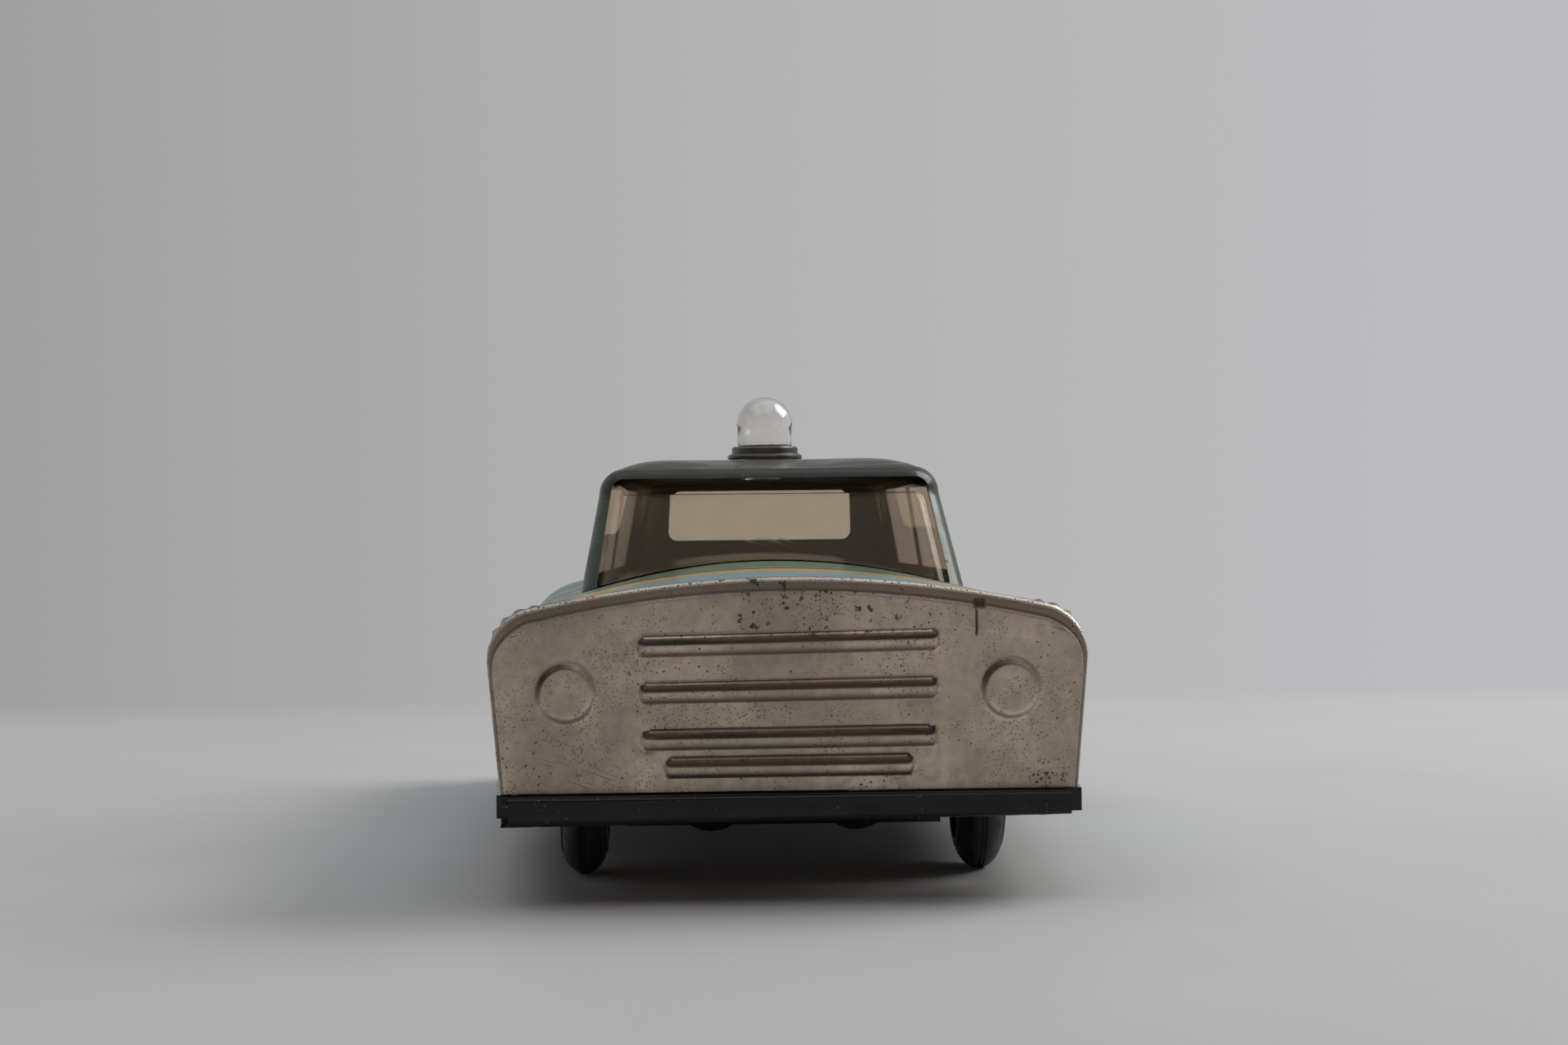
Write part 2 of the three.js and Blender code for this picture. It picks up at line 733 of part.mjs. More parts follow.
// A channel bent down along both long edges, with an ear at each end for the axle.
function steeringBracket() {
  const webTop = -seat - 0.1;
  const [x, y] = [bracketHalfWidth, bracketHalfDepth];
  const flangeOutline = new THREE.Shape();
  flangeOutline.moveTo(-x, webTop);
  flangeOutline.lineTo(-x, -bracketDrop);
  [-1, 1].forEach((side) => {
    const lobe = side * 7.9;
    flangeOutline.lineTo(lobe - 2.4, -bracketDrop);
    flangeOutline.quadraticCurveTo(lobe, -bracketDrop - 2 * lobeDrop, lobe + 2.4, -bracketDrop);
  });
  flangeOutline.lineTo(x, -bracketDrop);
  flangeOutline.lineTo(x, webTop);
  const flange = (y0) =>
    new THREE.ExtrudeGeometry(flangeOutline, { depth: sheet, bevelEnabled: false, curveSegments: 6 })
      .rotateX(Math.PI / 2)
      .translate(0, y0 + sheet, 0);
  const web = box(-x, x, -y, y, webTop - sheet, webTop);
  const ears = mirrored((side) =>
    box(side < 0 ? -x : x - sheet, side < 0 ? -x + sheet : x, -y, y, -bracketDrop, webTop),
  );
  const bracket = join(web, flange(-y), flange(y - sheet), ...ears);
  const pivotHole = post(rivetRadius + running, -2, 2).translate(0, -steeringLead, 0);
  const axleHole = rod(axleRadius + running, -50, 50).translate(0, 0, axleZ);
  return cut(bracket, pivotHole, axleHole);
}

function steeringRivet() {
  const webBottom = -seat - 0.1 - sheet;
  return turnedOnZ(
    [
      [0, webBottom - seat - 0.7],
      [1.2, webBottom - seat - 0.7],
      [2.6, webBottom - seat],
      [rivetRadius, webBottom - seat],
      [rivetRadius, sheet + seat],
      [2.6, sheet + seat],
      [1.6, sheet + seat + 0.8],
      [0, sheet + seat + 1],
    ],
    16,
  );
}

// A rounded tyre with a narrow flat tread, bored for its hub.
function tyre() {
  const bulge = 4.2;
  const flatAngle = 12;
  const tread = [-75, -55, -35, -flatAngle, flatAngle, 35, 55, 75].map((a) => {
    const drop = bulge * (Math.cos(THREE.MathUtils.degToRad(flatAngle)) - polar(1, a).x);
    return [wheelRadius - drop, (tyreWidth / 2) * polar(1, a).y];
  });
  const side = tread[0][1];
  return turnedOnX([[hubRadius, side], ...tread, [hubRadius, -side], [hubRadius, side]]);
}

// A dished tin hub with a turned-out rim inside the tyre. It faces +X.
function hub() {
  const rim = hubRadius - seat;
  const bore = axleRadius + 0.05;
  return turnedOnX([
    [bore, -1],
    [bore + 0.9, -1],
    [bore + 0.9, 0.2],
    [rim - sheet - 0.4, 0.9],
    [rim - sheet, -2],
    [rim, -2],
    [rim, 2],
    [rim - 0.8, 2.1],
    [bore + 0.9, 0.9],
    [bore, 0.9],
    [bore, -1],
  ]);
}

const axleEnd = wheelX + 1.6;

function axle() {
  const profile = [
    [0, -axleEnd - 0.4],
    [axleRadius * 0.6, -axleEnd - 0.4],
    [axleRadius, -axleEnd],
    [axleRadius, axleEnd],
    [axleRadius * 0.6, axleEnd + 0.4],
    [0, axleEnd + 0.4],
  ];
  return turnedOnX(profile, 16);
}

// ---------------------------------------------------------------- clockwork

// A gear's outline in Y and Z: straight flanks through the pitch circle, with room to run on its mate.
// The angle is where its first tooth points, in degrees.
function gearOutline(teeth, angle, leaf, bore) {
  const pitch = pitchRadius(teeth);
  const add = (leaf ? 0.75 : 0.85) * gearModule;
  const deduct = (leaf ? 1.1 : 1) * gearModule;
  const [root, tip] = leaf ? [0.22, 0.09] : [0.27, 0.11];
  const toothAngle = 360 / teeth;
  const points = Array.from({ length: teeth }, (_, i) => {
    const centre = angle + i * toothAngle;
    return [
      polar(pitch - deduct, centre - root * toothAngle),
      polar(pitch + add, centre - tip * toothAngle),
      polar(pitch + add, centre + tip * toothAngle),
      polar(pitch - deduct, centre + root * toothAngle),
    ];
  }).flat();
  return roundHole(new THREE.Shape(points), 0, 0, bore);
}

// The direction from one arbor to another, in degrees from +Y towards +Z.
const heading = (y, z) => THREE.MathUtils.radToDeg(Math.atan2(z, y));
const toMiddle = heading(middleY - windingY, middleZ - windingZ);
const toAxle = heading(rearAxleY - middleY, axleZ - middleZ);
// Each wheel shows a tooth to its pinion, and each pinion a gap to its wheel.
const half = (teeth) => 180 / teeth;

const clickAngle = 200; // of the ratchet tooth that the click holds
const clickPivot = polar(7, clickAngle - 58);
const clickPinRadius = 0.6;

function greatWheel() {
  const outline = gearOutline(greatTeeth, toMiddle, false, windingRadius + running);
  steps(0, 240, 2).forEach((turn) => {
    const at = polar(7.4, clickAngle + 10 + turn);
    if (at.distanceTo(clickPivot) > 4.5) roundHole(outline, at.x, at.y, 1.8);
  });
  const disc = slab(outline, 0, gearThickness);
  const pin = rod(clickPinRadius, gearThickness / 2, ratchetX - greatX + gearThickness + 0.4, 16);
  return join(disc, pin.translate(0, clickPivot.x, clickPivot.y));
}

function ratchetWheel() {
  const pitch = 360 / ratchetTeeth;
  const points = Array.from({ length: ratchetTeeth }, (_, i) => [
    polar(ratchetRadius - ratchetDepth, clickAngle + i * pitch),
    polar(ratchetRadius, clickAngle + i * pitch),
  ]).flat();
  const outline = roundHole(new THREE.Shape(points), 0, 0, windingRadius + 0.05);
  return slab(outline, 0, gearThickness);
}

// The click: an arm on a pin of the great wheel whose tip drops behind a ratchet tooth.
function click() {
  const around = (radius, lead) => polar(radius, clickAngle - lead);
  const outline = new THREE.Shape([
    around(ratchetRadius - ratchetDepth + 0.35, 2.5),
    around(ratchetRadius, 2.5),
    around(5.3, 10),
    around(6.7, 30),
    around(8.2, 52),
    around(8.2, 64),
    around(6.8, 70),
    around(5.7, 64),
    around(5.3, 46),
    around(5, 32),
    around(4.45, 15),
  ].reverse());
  roundHole(outline, clickPivot.x, clickPivot.y, clickPinRadius + running);
  const arm = slab(outline, 0, gearThickness);
  return arm.translate(0, -clickPivot.x, -clickPivot.y);
}

const clickSpringThickness = 0.25;

// A curved leaf that bears on the click's back.
function clickSpring() {
  const around = (radius, lead) => polar(radius, clickAngle - lead);
  const outer = [
    [7.7, 8],
    [8.2, 20],
    [8.9, 34],
    [9.3, 50],
  ];
  const points = [
    ...outer.map(([radius, lead]) => around(radius, lead)),
    ...outer.map(([radius, lead]) => around(radius + clickSpringThickness, lead)).reverse(),
  ];
  return slab(new THREE.Shape(points), 0, gearThickness);
}

// The spiral mainspring, run down, with a tail that hooks round a pillar.
function mainspring() {
  const inner = windingRadius + 0.2;
  const outer = 10.6;
  const count = 16 * springTurns;
  const start = heading(pillars[0].y - windingY, pillars[0].z - windingZ) - 60;
  const line = steps(0, 1, count).map((share) => {
    const angle = start - 360 * springTurns * (1 - share);
    return polar(inner + (outer - inner) * share, angle);
  });
  const hook = new THREE.Vector2(pillars[0].y - windingY, pillars[0].z - windingZ);
  const outward = hook.clone().normalize();
  line.push(hook.clone().addScaledVector(outward, pillarRadius + 0.45).rotateAround(new THREE.Vector2(), -0.12));
  line.push(hook.clone().addScaledVector(outward, pillarRadius + 0.45).rotateAround(new THREE.Vector2(), 0.08));
  const edges = [0, springThickness].map((rise) =>
    line.map((point) => point.clone().addScaledVector(point.clone().normalize(), rise)),
  );
  const outline = new THREE.Shape([...edges[0], ...edges[1].reverse()].reverse());
  return slab(outline, 0, springWidth);
}

const pillars = [
  { name: "front", ...pillarAt(13.6, 222) },
  { name: "top", ...pillarAt(13.9, 122) },
  { name: "rear", y: rearAxleY + 4.6, z: axleZ + 12.4 },
];

function pillarAt(radius, angle) {
  const at = polar(radius, angle);
  return { y: windingY + at.x, z: windingZ + at.y };
}

// One side of the motor's frame: a plate with the arbors' holes and two feet bent out onto the chassis.
function motorPlate(side) {
  const outline = new THREE.Shape([
    new THREE.Vector2(motorFront, -1.6),
    new THREE.Vector2(windingY - 6, -5),
    new THREE.Vector2(windingY + 7, -5),
    new THREE.Vector2(windingY + 9, -0.9),
    new THREE.Vector2(rearAxleY - 6.5, -0.9),
    new THREE.Vector2(rearAxleY - 3, -5),
    new THREE.Vector2(rearAxleY + 4, -5),
    new THREE.Vector2(motorBack, 0),
    new THREE.Vector2(motorBack, 13),
    new THREE.Vector2(middleY + 2, 19.4),
    new THREE.Vector2(windingY - 10, 21.8),
    new THREE.Vector2(motorFront, 12),
  ]);
  roundHole(outline, rearAxleY, axleZ, axleRadius + running);
  roundHole(outline, middleY, middleZ, middleRadius + running);
  roundHole(outline, windingY, windingZ, windingRadius + running);
  pillars.forEach(({ y, z }) => roundHole(outline, y, z, pillarEnd + running));
  const [inner, outer] = [side * motorHalfWidth, side * motorOuter];
  const plate = slab(outline, Math.min(inner, outer), Math.max(inner, outer));
  const feet = [motorFront + 4, rearAxleY - 9].map((y) => {
    const [x0, x1] = [side * (motorOuter - 0.3), side * (motorOuter + 3)];
    return box(Math.min(x0, x1), Math.max(x0, x1), y - 2.5, y + 2.5, foot, foot + motorPlateThickness);
  });
  return join(plate, ...feet);
}

// A pillar between the motor plates, with a thinner end riveted into each.
const pillarEnd = 0.8;
function motorPillar() {
  const [shoulder, end] = [motorHalfWidth - 0.05, motorOuter + 0.4];
  return turnedOnX(
    [
      [0, -end],
      [pillarEnd, -end],
      [pillarEnd, -shoulder],
      [pillarRadius, -shoulder],
      [pillarRadius, shoulder],
      [pillarEnd, shoulder],
      [pillarEnd, end],
      [0, end],
    ],
    12,
  );
}

const keyFace = shellHalfWidth(windingY) + 0.8;
const keyEnd = shellHalfWidth(windingY) + keyReach;
const arborEnd = keyFace + 4;

function windingArbor() {
  return rod(windingRadius, -motorOuter - 0.6, arborEnd);
}

// A round socket on the arbor with a flat two-winged grip that has a hole in each wing.
function windingKey() {
  const socket = turnedOnX(
    [
      [windingRadius + 0.05, keyFace],
      [windingRadius + 0.8, keyFace],
      [windingRadius + 0.8, arborEnd + 0.5],
      [0, arborEnd + 0.5],
      [0, arborEnd + 0.05],
      [windingRadius + 0.05, arborEnd + 0.05],
      [windingRadius + 0.05, keyFace],
    ],
    16,
  );
  const [tip, near, far] = [keySpan / 2, arborEnd - 1.6, keyEnd];
  const wings = new THREE.Shape();
  wings.moveTo(near, 0);
  wings.bezierCurveTo(near, tip * 0.45, near - 1.4, tip, (near + far) / 2, tip);
  wings.bezierCurveTo(far + 1.2, tip, far + 0.2, tip * 0.3, far - 1.2, 0);
  wings.bezierCurveTo(far + 0.2, -tip * 0.3, far + 1.2, -tip, (near + far) / 2, -tip);
  wings.bezierCurveTo(near - 1.4, -tip, near, -tip * 0.45, near, 0);
  const grip = new THREE.ExtrudeGeometry(wings, {
    depth: keyThickness,
    bevelEnabled: false,
    curveSegments: 6,
  });
  grip.translate(0, 0, -keyThickness / 2);
  const eyes = mirrored((side) => post(1.5, -5, 5).translate((near + far) / 2, side * tip * 0.56, 0));
  const bore = rod(windingRadius + 0.05, keyFace - 1, arborEnd + 0.05);
  return join(socket, cut(grip, bore, ...eyes));
}

// The stop lever: a strip on the left motor plate whose bent tip rises into the middle gear's teeth.
const leverY = windingY - 1;
const leverZ = -3.6;
const leverPivotRadius = 0.8;

function stopLever() {
  const pitch = 360 / middleTeeth;
  const gapAngle = toAxle - pitch / 2 + pitch * Math.round((-90 - toAxle + pitch / 2) / pitch);
  const reach = middleY + polar(pitchRadius(middleTeeth), gapAngle).x - leverY;
  const outline = new THREE.Shape([
    new THREE.Vector2(-12, -3.4),
    new THREE.Vector2(-11.4, -4.6),
    new THREE.Vector2(-2, -1.6),
    new THREE.Vector2(2, -1.4),
    new THREE.Vector2(reach + 0.4, -1.4),
    new THREE.Vector2(reach + 0.4, -0.5),
    new THREE.Vector2(2, 1.2),
    new THREE.Vector2(-2, 1.2),
  ]);
  roundHole(outline, 0, 0, leverPivotRadius + running);
  const strip = slab(outline, motorOuter + seat, motorOuter + seat + 0.6);
  const tip = box(middleX - 0.5, motorOuter + seat + 0.6, reach - 0.4, reach + 0.4, -1.4, -0.5);
  const grip = box(motorOuter + seat, motorOuter + 4, -12.2, -11.4, -4.9, -3.2);
  return join(strip, tip, grip);
}

function leverRivet() {
  const face = motorOuter + seat + 0.6;
  return turnedOnX(
    [
      [0, motorOuter + 0.05],
      [leverPivotRadius, motorOuter + 0.05],
      [leverPivotRadius, face + 0.05],
      [1.5, face + 0.05],
      [1, face + 0.6],
      [0, face + 0.6],
    ],
    16,
  );
}

// ---------------------------------------------------------------- materials

function material(color, roughness, metalness, extra = {}) {
  return new THREE.MeshStandardMaterial({ color, roughness, metalness, ...extra });
}

const bareTin = material(0x9b8f80, 0.35, 1);
const lithoBody = material(0x6fa3b5, 0.3, 0.2);
const lithoCabin = material(0x5f7f72, 0.3, 0.2);
const blackTin = material(0x141414, 0.25, 0.1);
const tintedPlastic = material(0xa88f6c, 0.1, 0, { transparent: true, opacity: 0.45 });
const clearPlastic = material(0xe6e4de, 0.08, 0, { transparent: true, opacity: 0.35 });
const rubber = material(0x161616, 0.7, 0);
const steel = material(0x8b8b88, 0.35, 1);
const springSteel = material(0x4d5560, 0.3, 1);
const brass = material(0xb8924a, 0.35, 1);

// ---------------------------------------------------------------- assembly

const car = new THREE.Group();

function add(group, name, geometry, finish, x = 0, y = 0, z = 0) {
  const mesh = new THREE.Mesh(geometry, finish);
  mesh.name = name;
  mesh.position.set(x, y, z);
  group.add(mesh);
  return mesh;
}

// Two wheels pressed on one axle. The group stands at the axle's centre.
function wheelSet(end, y) {
  const set = new THREE.Group();
  set.position.set(0, y, axleZ);
  add(set, `${end}_axle`, axle(), steel);
  Object.entries({ left: 1, right: -1 }).forEach(([hand, side]) => {
    add(set, `${end}_${hand}_tyre`, tyre(), rubber, side * wheelX);
    const disc = add(set, `${end}_${hand}_hub`, hub(), bareTin, side * wheelX);
    disc.rotation.y = side > 0 ? 0 : Math.PI;
  });
  car.add(set);
  return set;
}

add(car, "body_shell", bodyShell(), lithoBody);
add(car, "grille_panel", grillePanel(), bareTin);
add(car, "tail_panel", tailPanel(), bareTin);
add(car, "cabin_shell", cabinShell(), lithoCabin);
add(car, "glazing_band", glazingBand(), tintedPlastic);
add(car, "beacon_collar", beaconCollar(), blackTin, 0, beaconY, beaconFoot);
add(car, "beacon_dome", beaconDome(), clearPlastic, 0, beaconY, beaconFoot);

add(car, "chassis_plate", chassisPlate(), blackTin);
const bumperY = halfLength + bumperDepth / 2;
const bumperZ = 0.3 - bumperHeight / 2;
add(car, "front_bumper", bumper(), blackTin, 0, -bumperY, bumperZ);
add(car, "rear_bumper", bumper(), blackTin, 0, bumperY, bumperZ).rotation.z = Math.PI;

add(car, "steering_bracket", steeringBracket(), blackTin, 0, frontAxleY, 0);
add(car, "steering_rivet", steeringRivet(), steel, 0, steeringY, 0);
wheelSet("front", frontAxleY);
const rearSet = wheelSet("rear", rearAxleY);
const axlePinion = gearOutline(pinionTeeth, toAxle + 180 + half(pinionTeeth), true, axleRadius + 0.05);
add(rearSet, "axle_pinion", slab(axlePinion, 0, pinionLength), brass, middleX - 1);

const motor = new THREE.Group();
add(motor, "motor_left_plate", motorPlate(1), steel);
add(motor, "motor_right_plate", motorPlate(-1), steel);
pillars.forEach(({ name, y, z }) => add(motor, `motor_${name}_pillar`, motorPillar(), steel, 0, y, z));

const winding = new THREE.Group();
winding.position.set(0, windingY, windingZ);
add(winding, "winding_arbor", windingArbor(), steel);
add(winding, "mainspring", mainspring(), springSteel, springX);
add(winding, "great_wheel", greatWheel(), brass, greatX);
add(winding, "ratchet_wheel", ratchetWheel(), steel, ratchetX);
add(winding, "click", click(), steel, ratchetX, clickPivot.x, clickPivot.y);
add(winding, "click_spring", clickSpring(), springSteel, ratchetX);
add(winding, "winding_key", windingKey(), steel);
motor.add(winding);

const middle = new THREE.Group();
middle.position.set(0, middleY, middleZ);
add(middle, "middle_arbor", rod(middleRadius, -motorOuter - 0.5, motorOuter + 0.5), steel);
// The middle gear's tooth towards the axle fixes the arbor's turn, and its pinion shows a gap to the great wheel.
const middlePinion = gearOutline(pinionTeeth, toMiddle + 180 + half(pinionTeeth), true, middleRadius + 0.05);
add(middle, "middle_pinion", slab(middlePinion, 0, pinionLength), brass, greatX - 1);
const middleGear = gearOutline(middleTeeth, toAxle, false, middleRadius + 0.05);
add(middle, "middle_gear", slab(middleGear, 0, gearThickness), brass, middleX);
motor.add(middle);

add(motor, "stop_lever", stopLever(), blackTin, 0, leverY, leverZ);
add(motor, "lever_rivet", leverRivet(), steel, 0, leverY, leverZ);
car.add(motor);

// The parts are laid out from the chassis plate's underside, and the origin is on the pad below it.
car.position.z = padDrop;

export default car;
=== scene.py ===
"""A clockwork tin toy saloon with a beacon on its roof, finished around its CAD model.

Shapes are drawn in millimetres above the chassis plate's underside: +X is the car's left side, +Y its tail.
"""

import json
import math

import bmesh
import bpy
from mathutils import Matrix, Vector, noise


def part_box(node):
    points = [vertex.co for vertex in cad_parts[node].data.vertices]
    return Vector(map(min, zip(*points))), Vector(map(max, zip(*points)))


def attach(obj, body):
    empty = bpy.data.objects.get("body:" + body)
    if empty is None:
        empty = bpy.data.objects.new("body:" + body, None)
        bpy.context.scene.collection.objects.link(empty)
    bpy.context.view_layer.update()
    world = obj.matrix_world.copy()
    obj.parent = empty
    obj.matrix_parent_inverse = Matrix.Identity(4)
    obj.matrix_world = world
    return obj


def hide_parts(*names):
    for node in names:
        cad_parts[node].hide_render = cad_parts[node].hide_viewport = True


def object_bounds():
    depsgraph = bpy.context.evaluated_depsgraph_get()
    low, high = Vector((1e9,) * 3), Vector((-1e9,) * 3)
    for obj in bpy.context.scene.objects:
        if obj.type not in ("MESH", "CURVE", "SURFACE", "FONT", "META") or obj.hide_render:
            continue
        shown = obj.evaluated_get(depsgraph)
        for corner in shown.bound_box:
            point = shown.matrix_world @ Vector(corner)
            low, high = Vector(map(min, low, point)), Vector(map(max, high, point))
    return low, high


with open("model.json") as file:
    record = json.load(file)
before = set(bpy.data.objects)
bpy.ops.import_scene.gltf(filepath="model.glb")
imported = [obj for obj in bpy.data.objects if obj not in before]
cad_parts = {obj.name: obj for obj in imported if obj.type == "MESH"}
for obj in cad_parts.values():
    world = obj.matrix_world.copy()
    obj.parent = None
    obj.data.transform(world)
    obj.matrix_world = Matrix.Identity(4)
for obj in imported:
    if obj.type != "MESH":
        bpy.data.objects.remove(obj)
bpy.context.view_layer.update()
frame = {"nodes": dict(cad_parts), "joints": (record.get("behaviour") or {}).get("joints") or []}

# ---------------------------------------------------------------- sizes shared with the CAD model

MM = 0.001
SHEET = 0.4
PANEL_SHEET = 0.32
SEAT = 0.1
FOOT = SHEET + SEAT
CHASSIS_FLANGE = 2.0
END_SHOULDER, MIDDLE_SHOULDER = 5.5, 8.0
END_CROWN, MIDDLE_CROWN = 120.0, 67.0
SIDE_LEAN = 1.2
PANEL_DEPTH = 3.4
COWL_INSET = 48.0
REAR_DECK_INSET = 33.0
ROOF_CROWN = 1.2
ROOF_EDGE = 3.2
WINDSCREEN_RUN = 11.0
REAR_WINDOW_RUN = 8.0
CABIN_HALF_WIDTH = 22.3
CABIN_TAPER = 3.4
FRONT_CORNER = 5.0
REAR_CORNER = 9.0
ARCH_RADIUS = 12.0
PILLAR = 1.4
SCREEN_PILLAR = 1.2
TRIM = 0.3

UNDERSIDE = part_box("chassis_plate")[0].z + CHASSIS_FLANGE * MM


def low_corner(node):
    """The node's lowest corner, in millimetres from the chassis underside."""
    return (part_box(node)[0] - Vector((0, 0, UNDERSIDE))) / MM


def high_corner(node):
    return (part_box(node)[1] - Vector((0, 0, UNDERSIDE))) / MM


def joint_place(name):
    """A joint's point, in millimetres from the chassis underside."""
    joint = next(j for j in frame["joints"] if j["name"] == name)
    return (Vector(joint["pos_m"]) - Vector((0, 0, UNDERSIDE))) / MM


GRILLE_Y = high_corner("grille_panel").y - PANEL_DEPTH
TAIL_Y = low_corner("tail_panel").y + PANEL_DEPTH
END_HALF_WIDTH = high_corner("grille_panel").x
GRILLE_TOP = high_corner("grille_panel").z
TAIL_TOP = high_corner("tail_panel").z
MIDDLE_HALF_WIDTH = high_corner("body_shell").x
BELT = high_corner("body_shell").z
COWL_Y = GRILLE_Y + COWL_INSET
REAR_DECK_Y = TAIL_Y - REAR_DECK_INSET
ROOF_FLAT = high_corner("cabin_shell").z
ROOF_TOP = ROOF_FLAT - ROOF_CROWN
ROOF_HALF_WIDTH = 20.4
WALL_EDGE = ROOF_TOP - ROOF_EDGE
BEACON = (low_corner("beacon_dome") + high_corner("beacon_dome")) / 2
FRONT_AXLE = joint_place("front_axle_turn")
REAR_AXLE = joint_place("rear_axle_turn")
WINDING = joint_place("winding_arbor_turn")
FLOOR_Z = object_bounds()[0].z


# ---------------------------------------------------------------- making pieces


def settle(bm):
    """Turns a shape drawn in millimetres above the chassis underside into metres in the CAD frame."""
    bmesh.ops.scale(bm, vec=(MM, MM, MM), verts=bm.verts)
    bmesh.ops.translate(bm, vec=(0, 0, UNDERSIDE), verts=bm.verts)


def new_object(bm, name, finishes, crease=35):
    mesh = bpy.data.meshes.new(name)
    bm.to_mesh(mesh)
    bm.free()
    for finish in finishes:
        mesh.materials.append(finish)
    piece = bpy.data.objects.new(name, mesh)
    bpy.context.scene.collection.objects.link(piece)
    mesh.shade_smooth()
    mesh.set_sharp_from_angle(angle=math.radians(crease))
    return piece


def fit(piece, body, slot, *nodes):
    """Puts a finished piece on its body in place of its CAD nodes."""
    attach(piece, body)
    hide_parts(*nodes)
    return piece


def give_wall(piece, thickness, inner_finish=0, even=True):
    wall = piece.modifiers.new("wall", "SOLIDIFY")
    wall.thickness = thickness * MM
    wall.offset = -1
    wall.use_even_offset = even
    wall.material_offset = inner_finish
    wall.material_offset_rim = 0


def ease_edges(piece, width, segments=2, angle=30):
    bevel = piece.modifiers.new("eased edges", "BEVEL")
    bevel.width = width * MM
    bevel.segments = segments
    bevel.limit_method = "ANGLE"
    bevel.angle_limit = math.radians(angle)
    bevel.harden_normals = False


def freeze(piece, crease=35):
    """Puts the result of the piece's modifiers into its mesh."""
    graph = bpy.context.evaluated_depsgraph_get()
    graph.update()
    mesh = bpy.data.meshes.new_from_object(piece.evaluated_get(graph))
    piece.modifiers.clear()
    piece.data = mesh
    mesh.shade_smooth()
    mesh.set_sharp_from_angle(angle=math.radians(crease))


def cut_away(piece, tools, crease=35):
    """Takes each tool, a bmesh in millimetres, out of the piece."""
    cutters = []
    for tool in tools:
        settle(tool)
        cutter = new_object(tool, "cutter", [])
        cut = piece.modifiers.new("cut", "BOOLEAN")
        cut.operation = "DIFFERENCE"
        cut.solver = "EXACT"
        cut.object = cutter
        cutters.append(cutter)
    freeze(piece, crease)
    for cutter in cutters:
        bpy.data.objects.remove(cutter)


def face_outwards(bm, heart=(0, 0, 0)):
    """Turns an open sheet's faces so that they point away from its heart."""
    bm.normal_update()
    middle = Vector(heart)
    facing = sum(f.normal.dot(f.calc_center_median() - middle) * f.calc_area() for f in bm.faces)
    if facing < 0:
        bmesh.ops.reverse_faces(bm, faces=bm.faces)


def extend(bm, edges, place):
    """Extrudes a chain of edges, moves each new vertex where place says, and returns the new edges."""
    made = bmesh.ops.extrude_edge_only(bm, edges=edges)["geom"]
    verts = {v for v in made if isinstance(v, bmesh.types.BMVert)}
    for vert in verts:
        vert.co = place(vert)
    return [e for e in made if isinstance(e, bmesh.types.BMEdge) and set(e.verts) <= verts]


def add_parts(piece, parts, finish=0):
    """Adds bmeshes, drawn in millimetres, to a piece's mesh."""
    bm = bmesh.new()
    bm.from_mesh(piece.data)
    for part in parts:
        settle(part)
        for face in part.faces:
            face.material_index = finish
        mesh = bpy.data.meshes.new("part")
        part.to_mesh(mesh)
        part.free()
        bm.from_mesh(mesh)
        bpy.data.meshes.remove(mesh)
    bm.to_mesh(piece.data)
    bm.free()


def push_out(bm, way):
    """Extrudes all of a flat shape by a vector and makes a closed solid of it."""
    made = bmesh.ops.extrude_face_region(bm, geom=bm.faces[:])["geom"]
    verts = [v for v in made if isinstance(v, bmesh.types.BMVert)]
    bmesh.ops.translate(bm, vec=way, verts=verts)
    bmesh.ops.recalc_face_normals(bm, faces=bm.faces)


def mirrored(profile):
    """A turned shape's profile with its other half, the same about the middle of its axis."""
    return profile + [(radius, -along) for radius, along in reversed(profile)]


def turned(profile, steps=64, axis="X", closed=True):
    """A shape turned about X or Z. The profile's points are (radius, distance along the axis)."""
    bm = bmesh.new()
    line = [bm.verts.new((d, 0, r) if axis == "X" else (r, 0, d)) for r, d in profile]
    pairs = list(zip(line, line[1:])) + ([(line[-1], line[0])] if closed else [])
    edges = [bm.edges.new(pair) for pair in pairs]
    bmesh.ops.spin(
        bm,
        geom=line + edges,
        cent=(0, 0, 0),
        axis=(1, 0, 0) if axis == "X" else (0, 0, 1),
        dvec=(0, 0, 0),
        angle=2 * math.pi,
        steps=steps,
        use_merge=True,
        use_normal_flip=False,
        use_duplicate=False,
    )
    bmesh.ops.remove_doubles(bm, verts=bm.verts, dist=0.001)
    bmesh.ops.dissolve_degenerate(bm, edges=bm.edges, dist=0.0005)
    bmesh.ops.recalc_face_normals(bm, faces=bm.faces)
    return bm


def drum(radius, low, high, steps=64):
    """A solid round bar along X with eased ends."""
    ease = min(radius * 0.25, 0.25)
    near = [(0, low), (radius - ease, low), (radius, low + ease)]
    far = [(radius, high - ease), (radius - ease, high), (0, high)]
    return turned(near + far, steps, closed=False)


def moved(bm, x=0.0, y=0.0, z=0.0):
    bmesh.ops.translate(bm, vec=(x, y, z), verts=bm.verts)
    return bm


def prism(corners, along, low, high, radius=0.0):
    """A block whose outline has rounded corners. along is the axis it runs in, X or Y or Z."""
    lay = {
        "X": lambda a, b: (low, a, b),
        "Y": lambda a, b: (a, low, b),
        "Z": lambda a, b: (a, b, low),
    }[along]
    bm = bmesh.new()
    verts = [bm.verts.new(lay(a, b)) for a, b in corners]
    bm.faces.new(verts)
    if radius:
        bmesh.ops.bevel(
            bm, geom=verts, offset=radius, segments=6, profile=0.5, affect="VERTICES", material=-1
        )
    push_out(bm, Vector({"X": (1, 0, 0), "Y": (0, 1, 0), "Z": (0, 0, 1)}[along]) * (high - low))
    return bm


def block(x0, x1, y0, y1, z0, z1):
    return prism([(x0, y0), (x1, y0), (x1, y1), (x0, y1)], "Z", z0, z1)


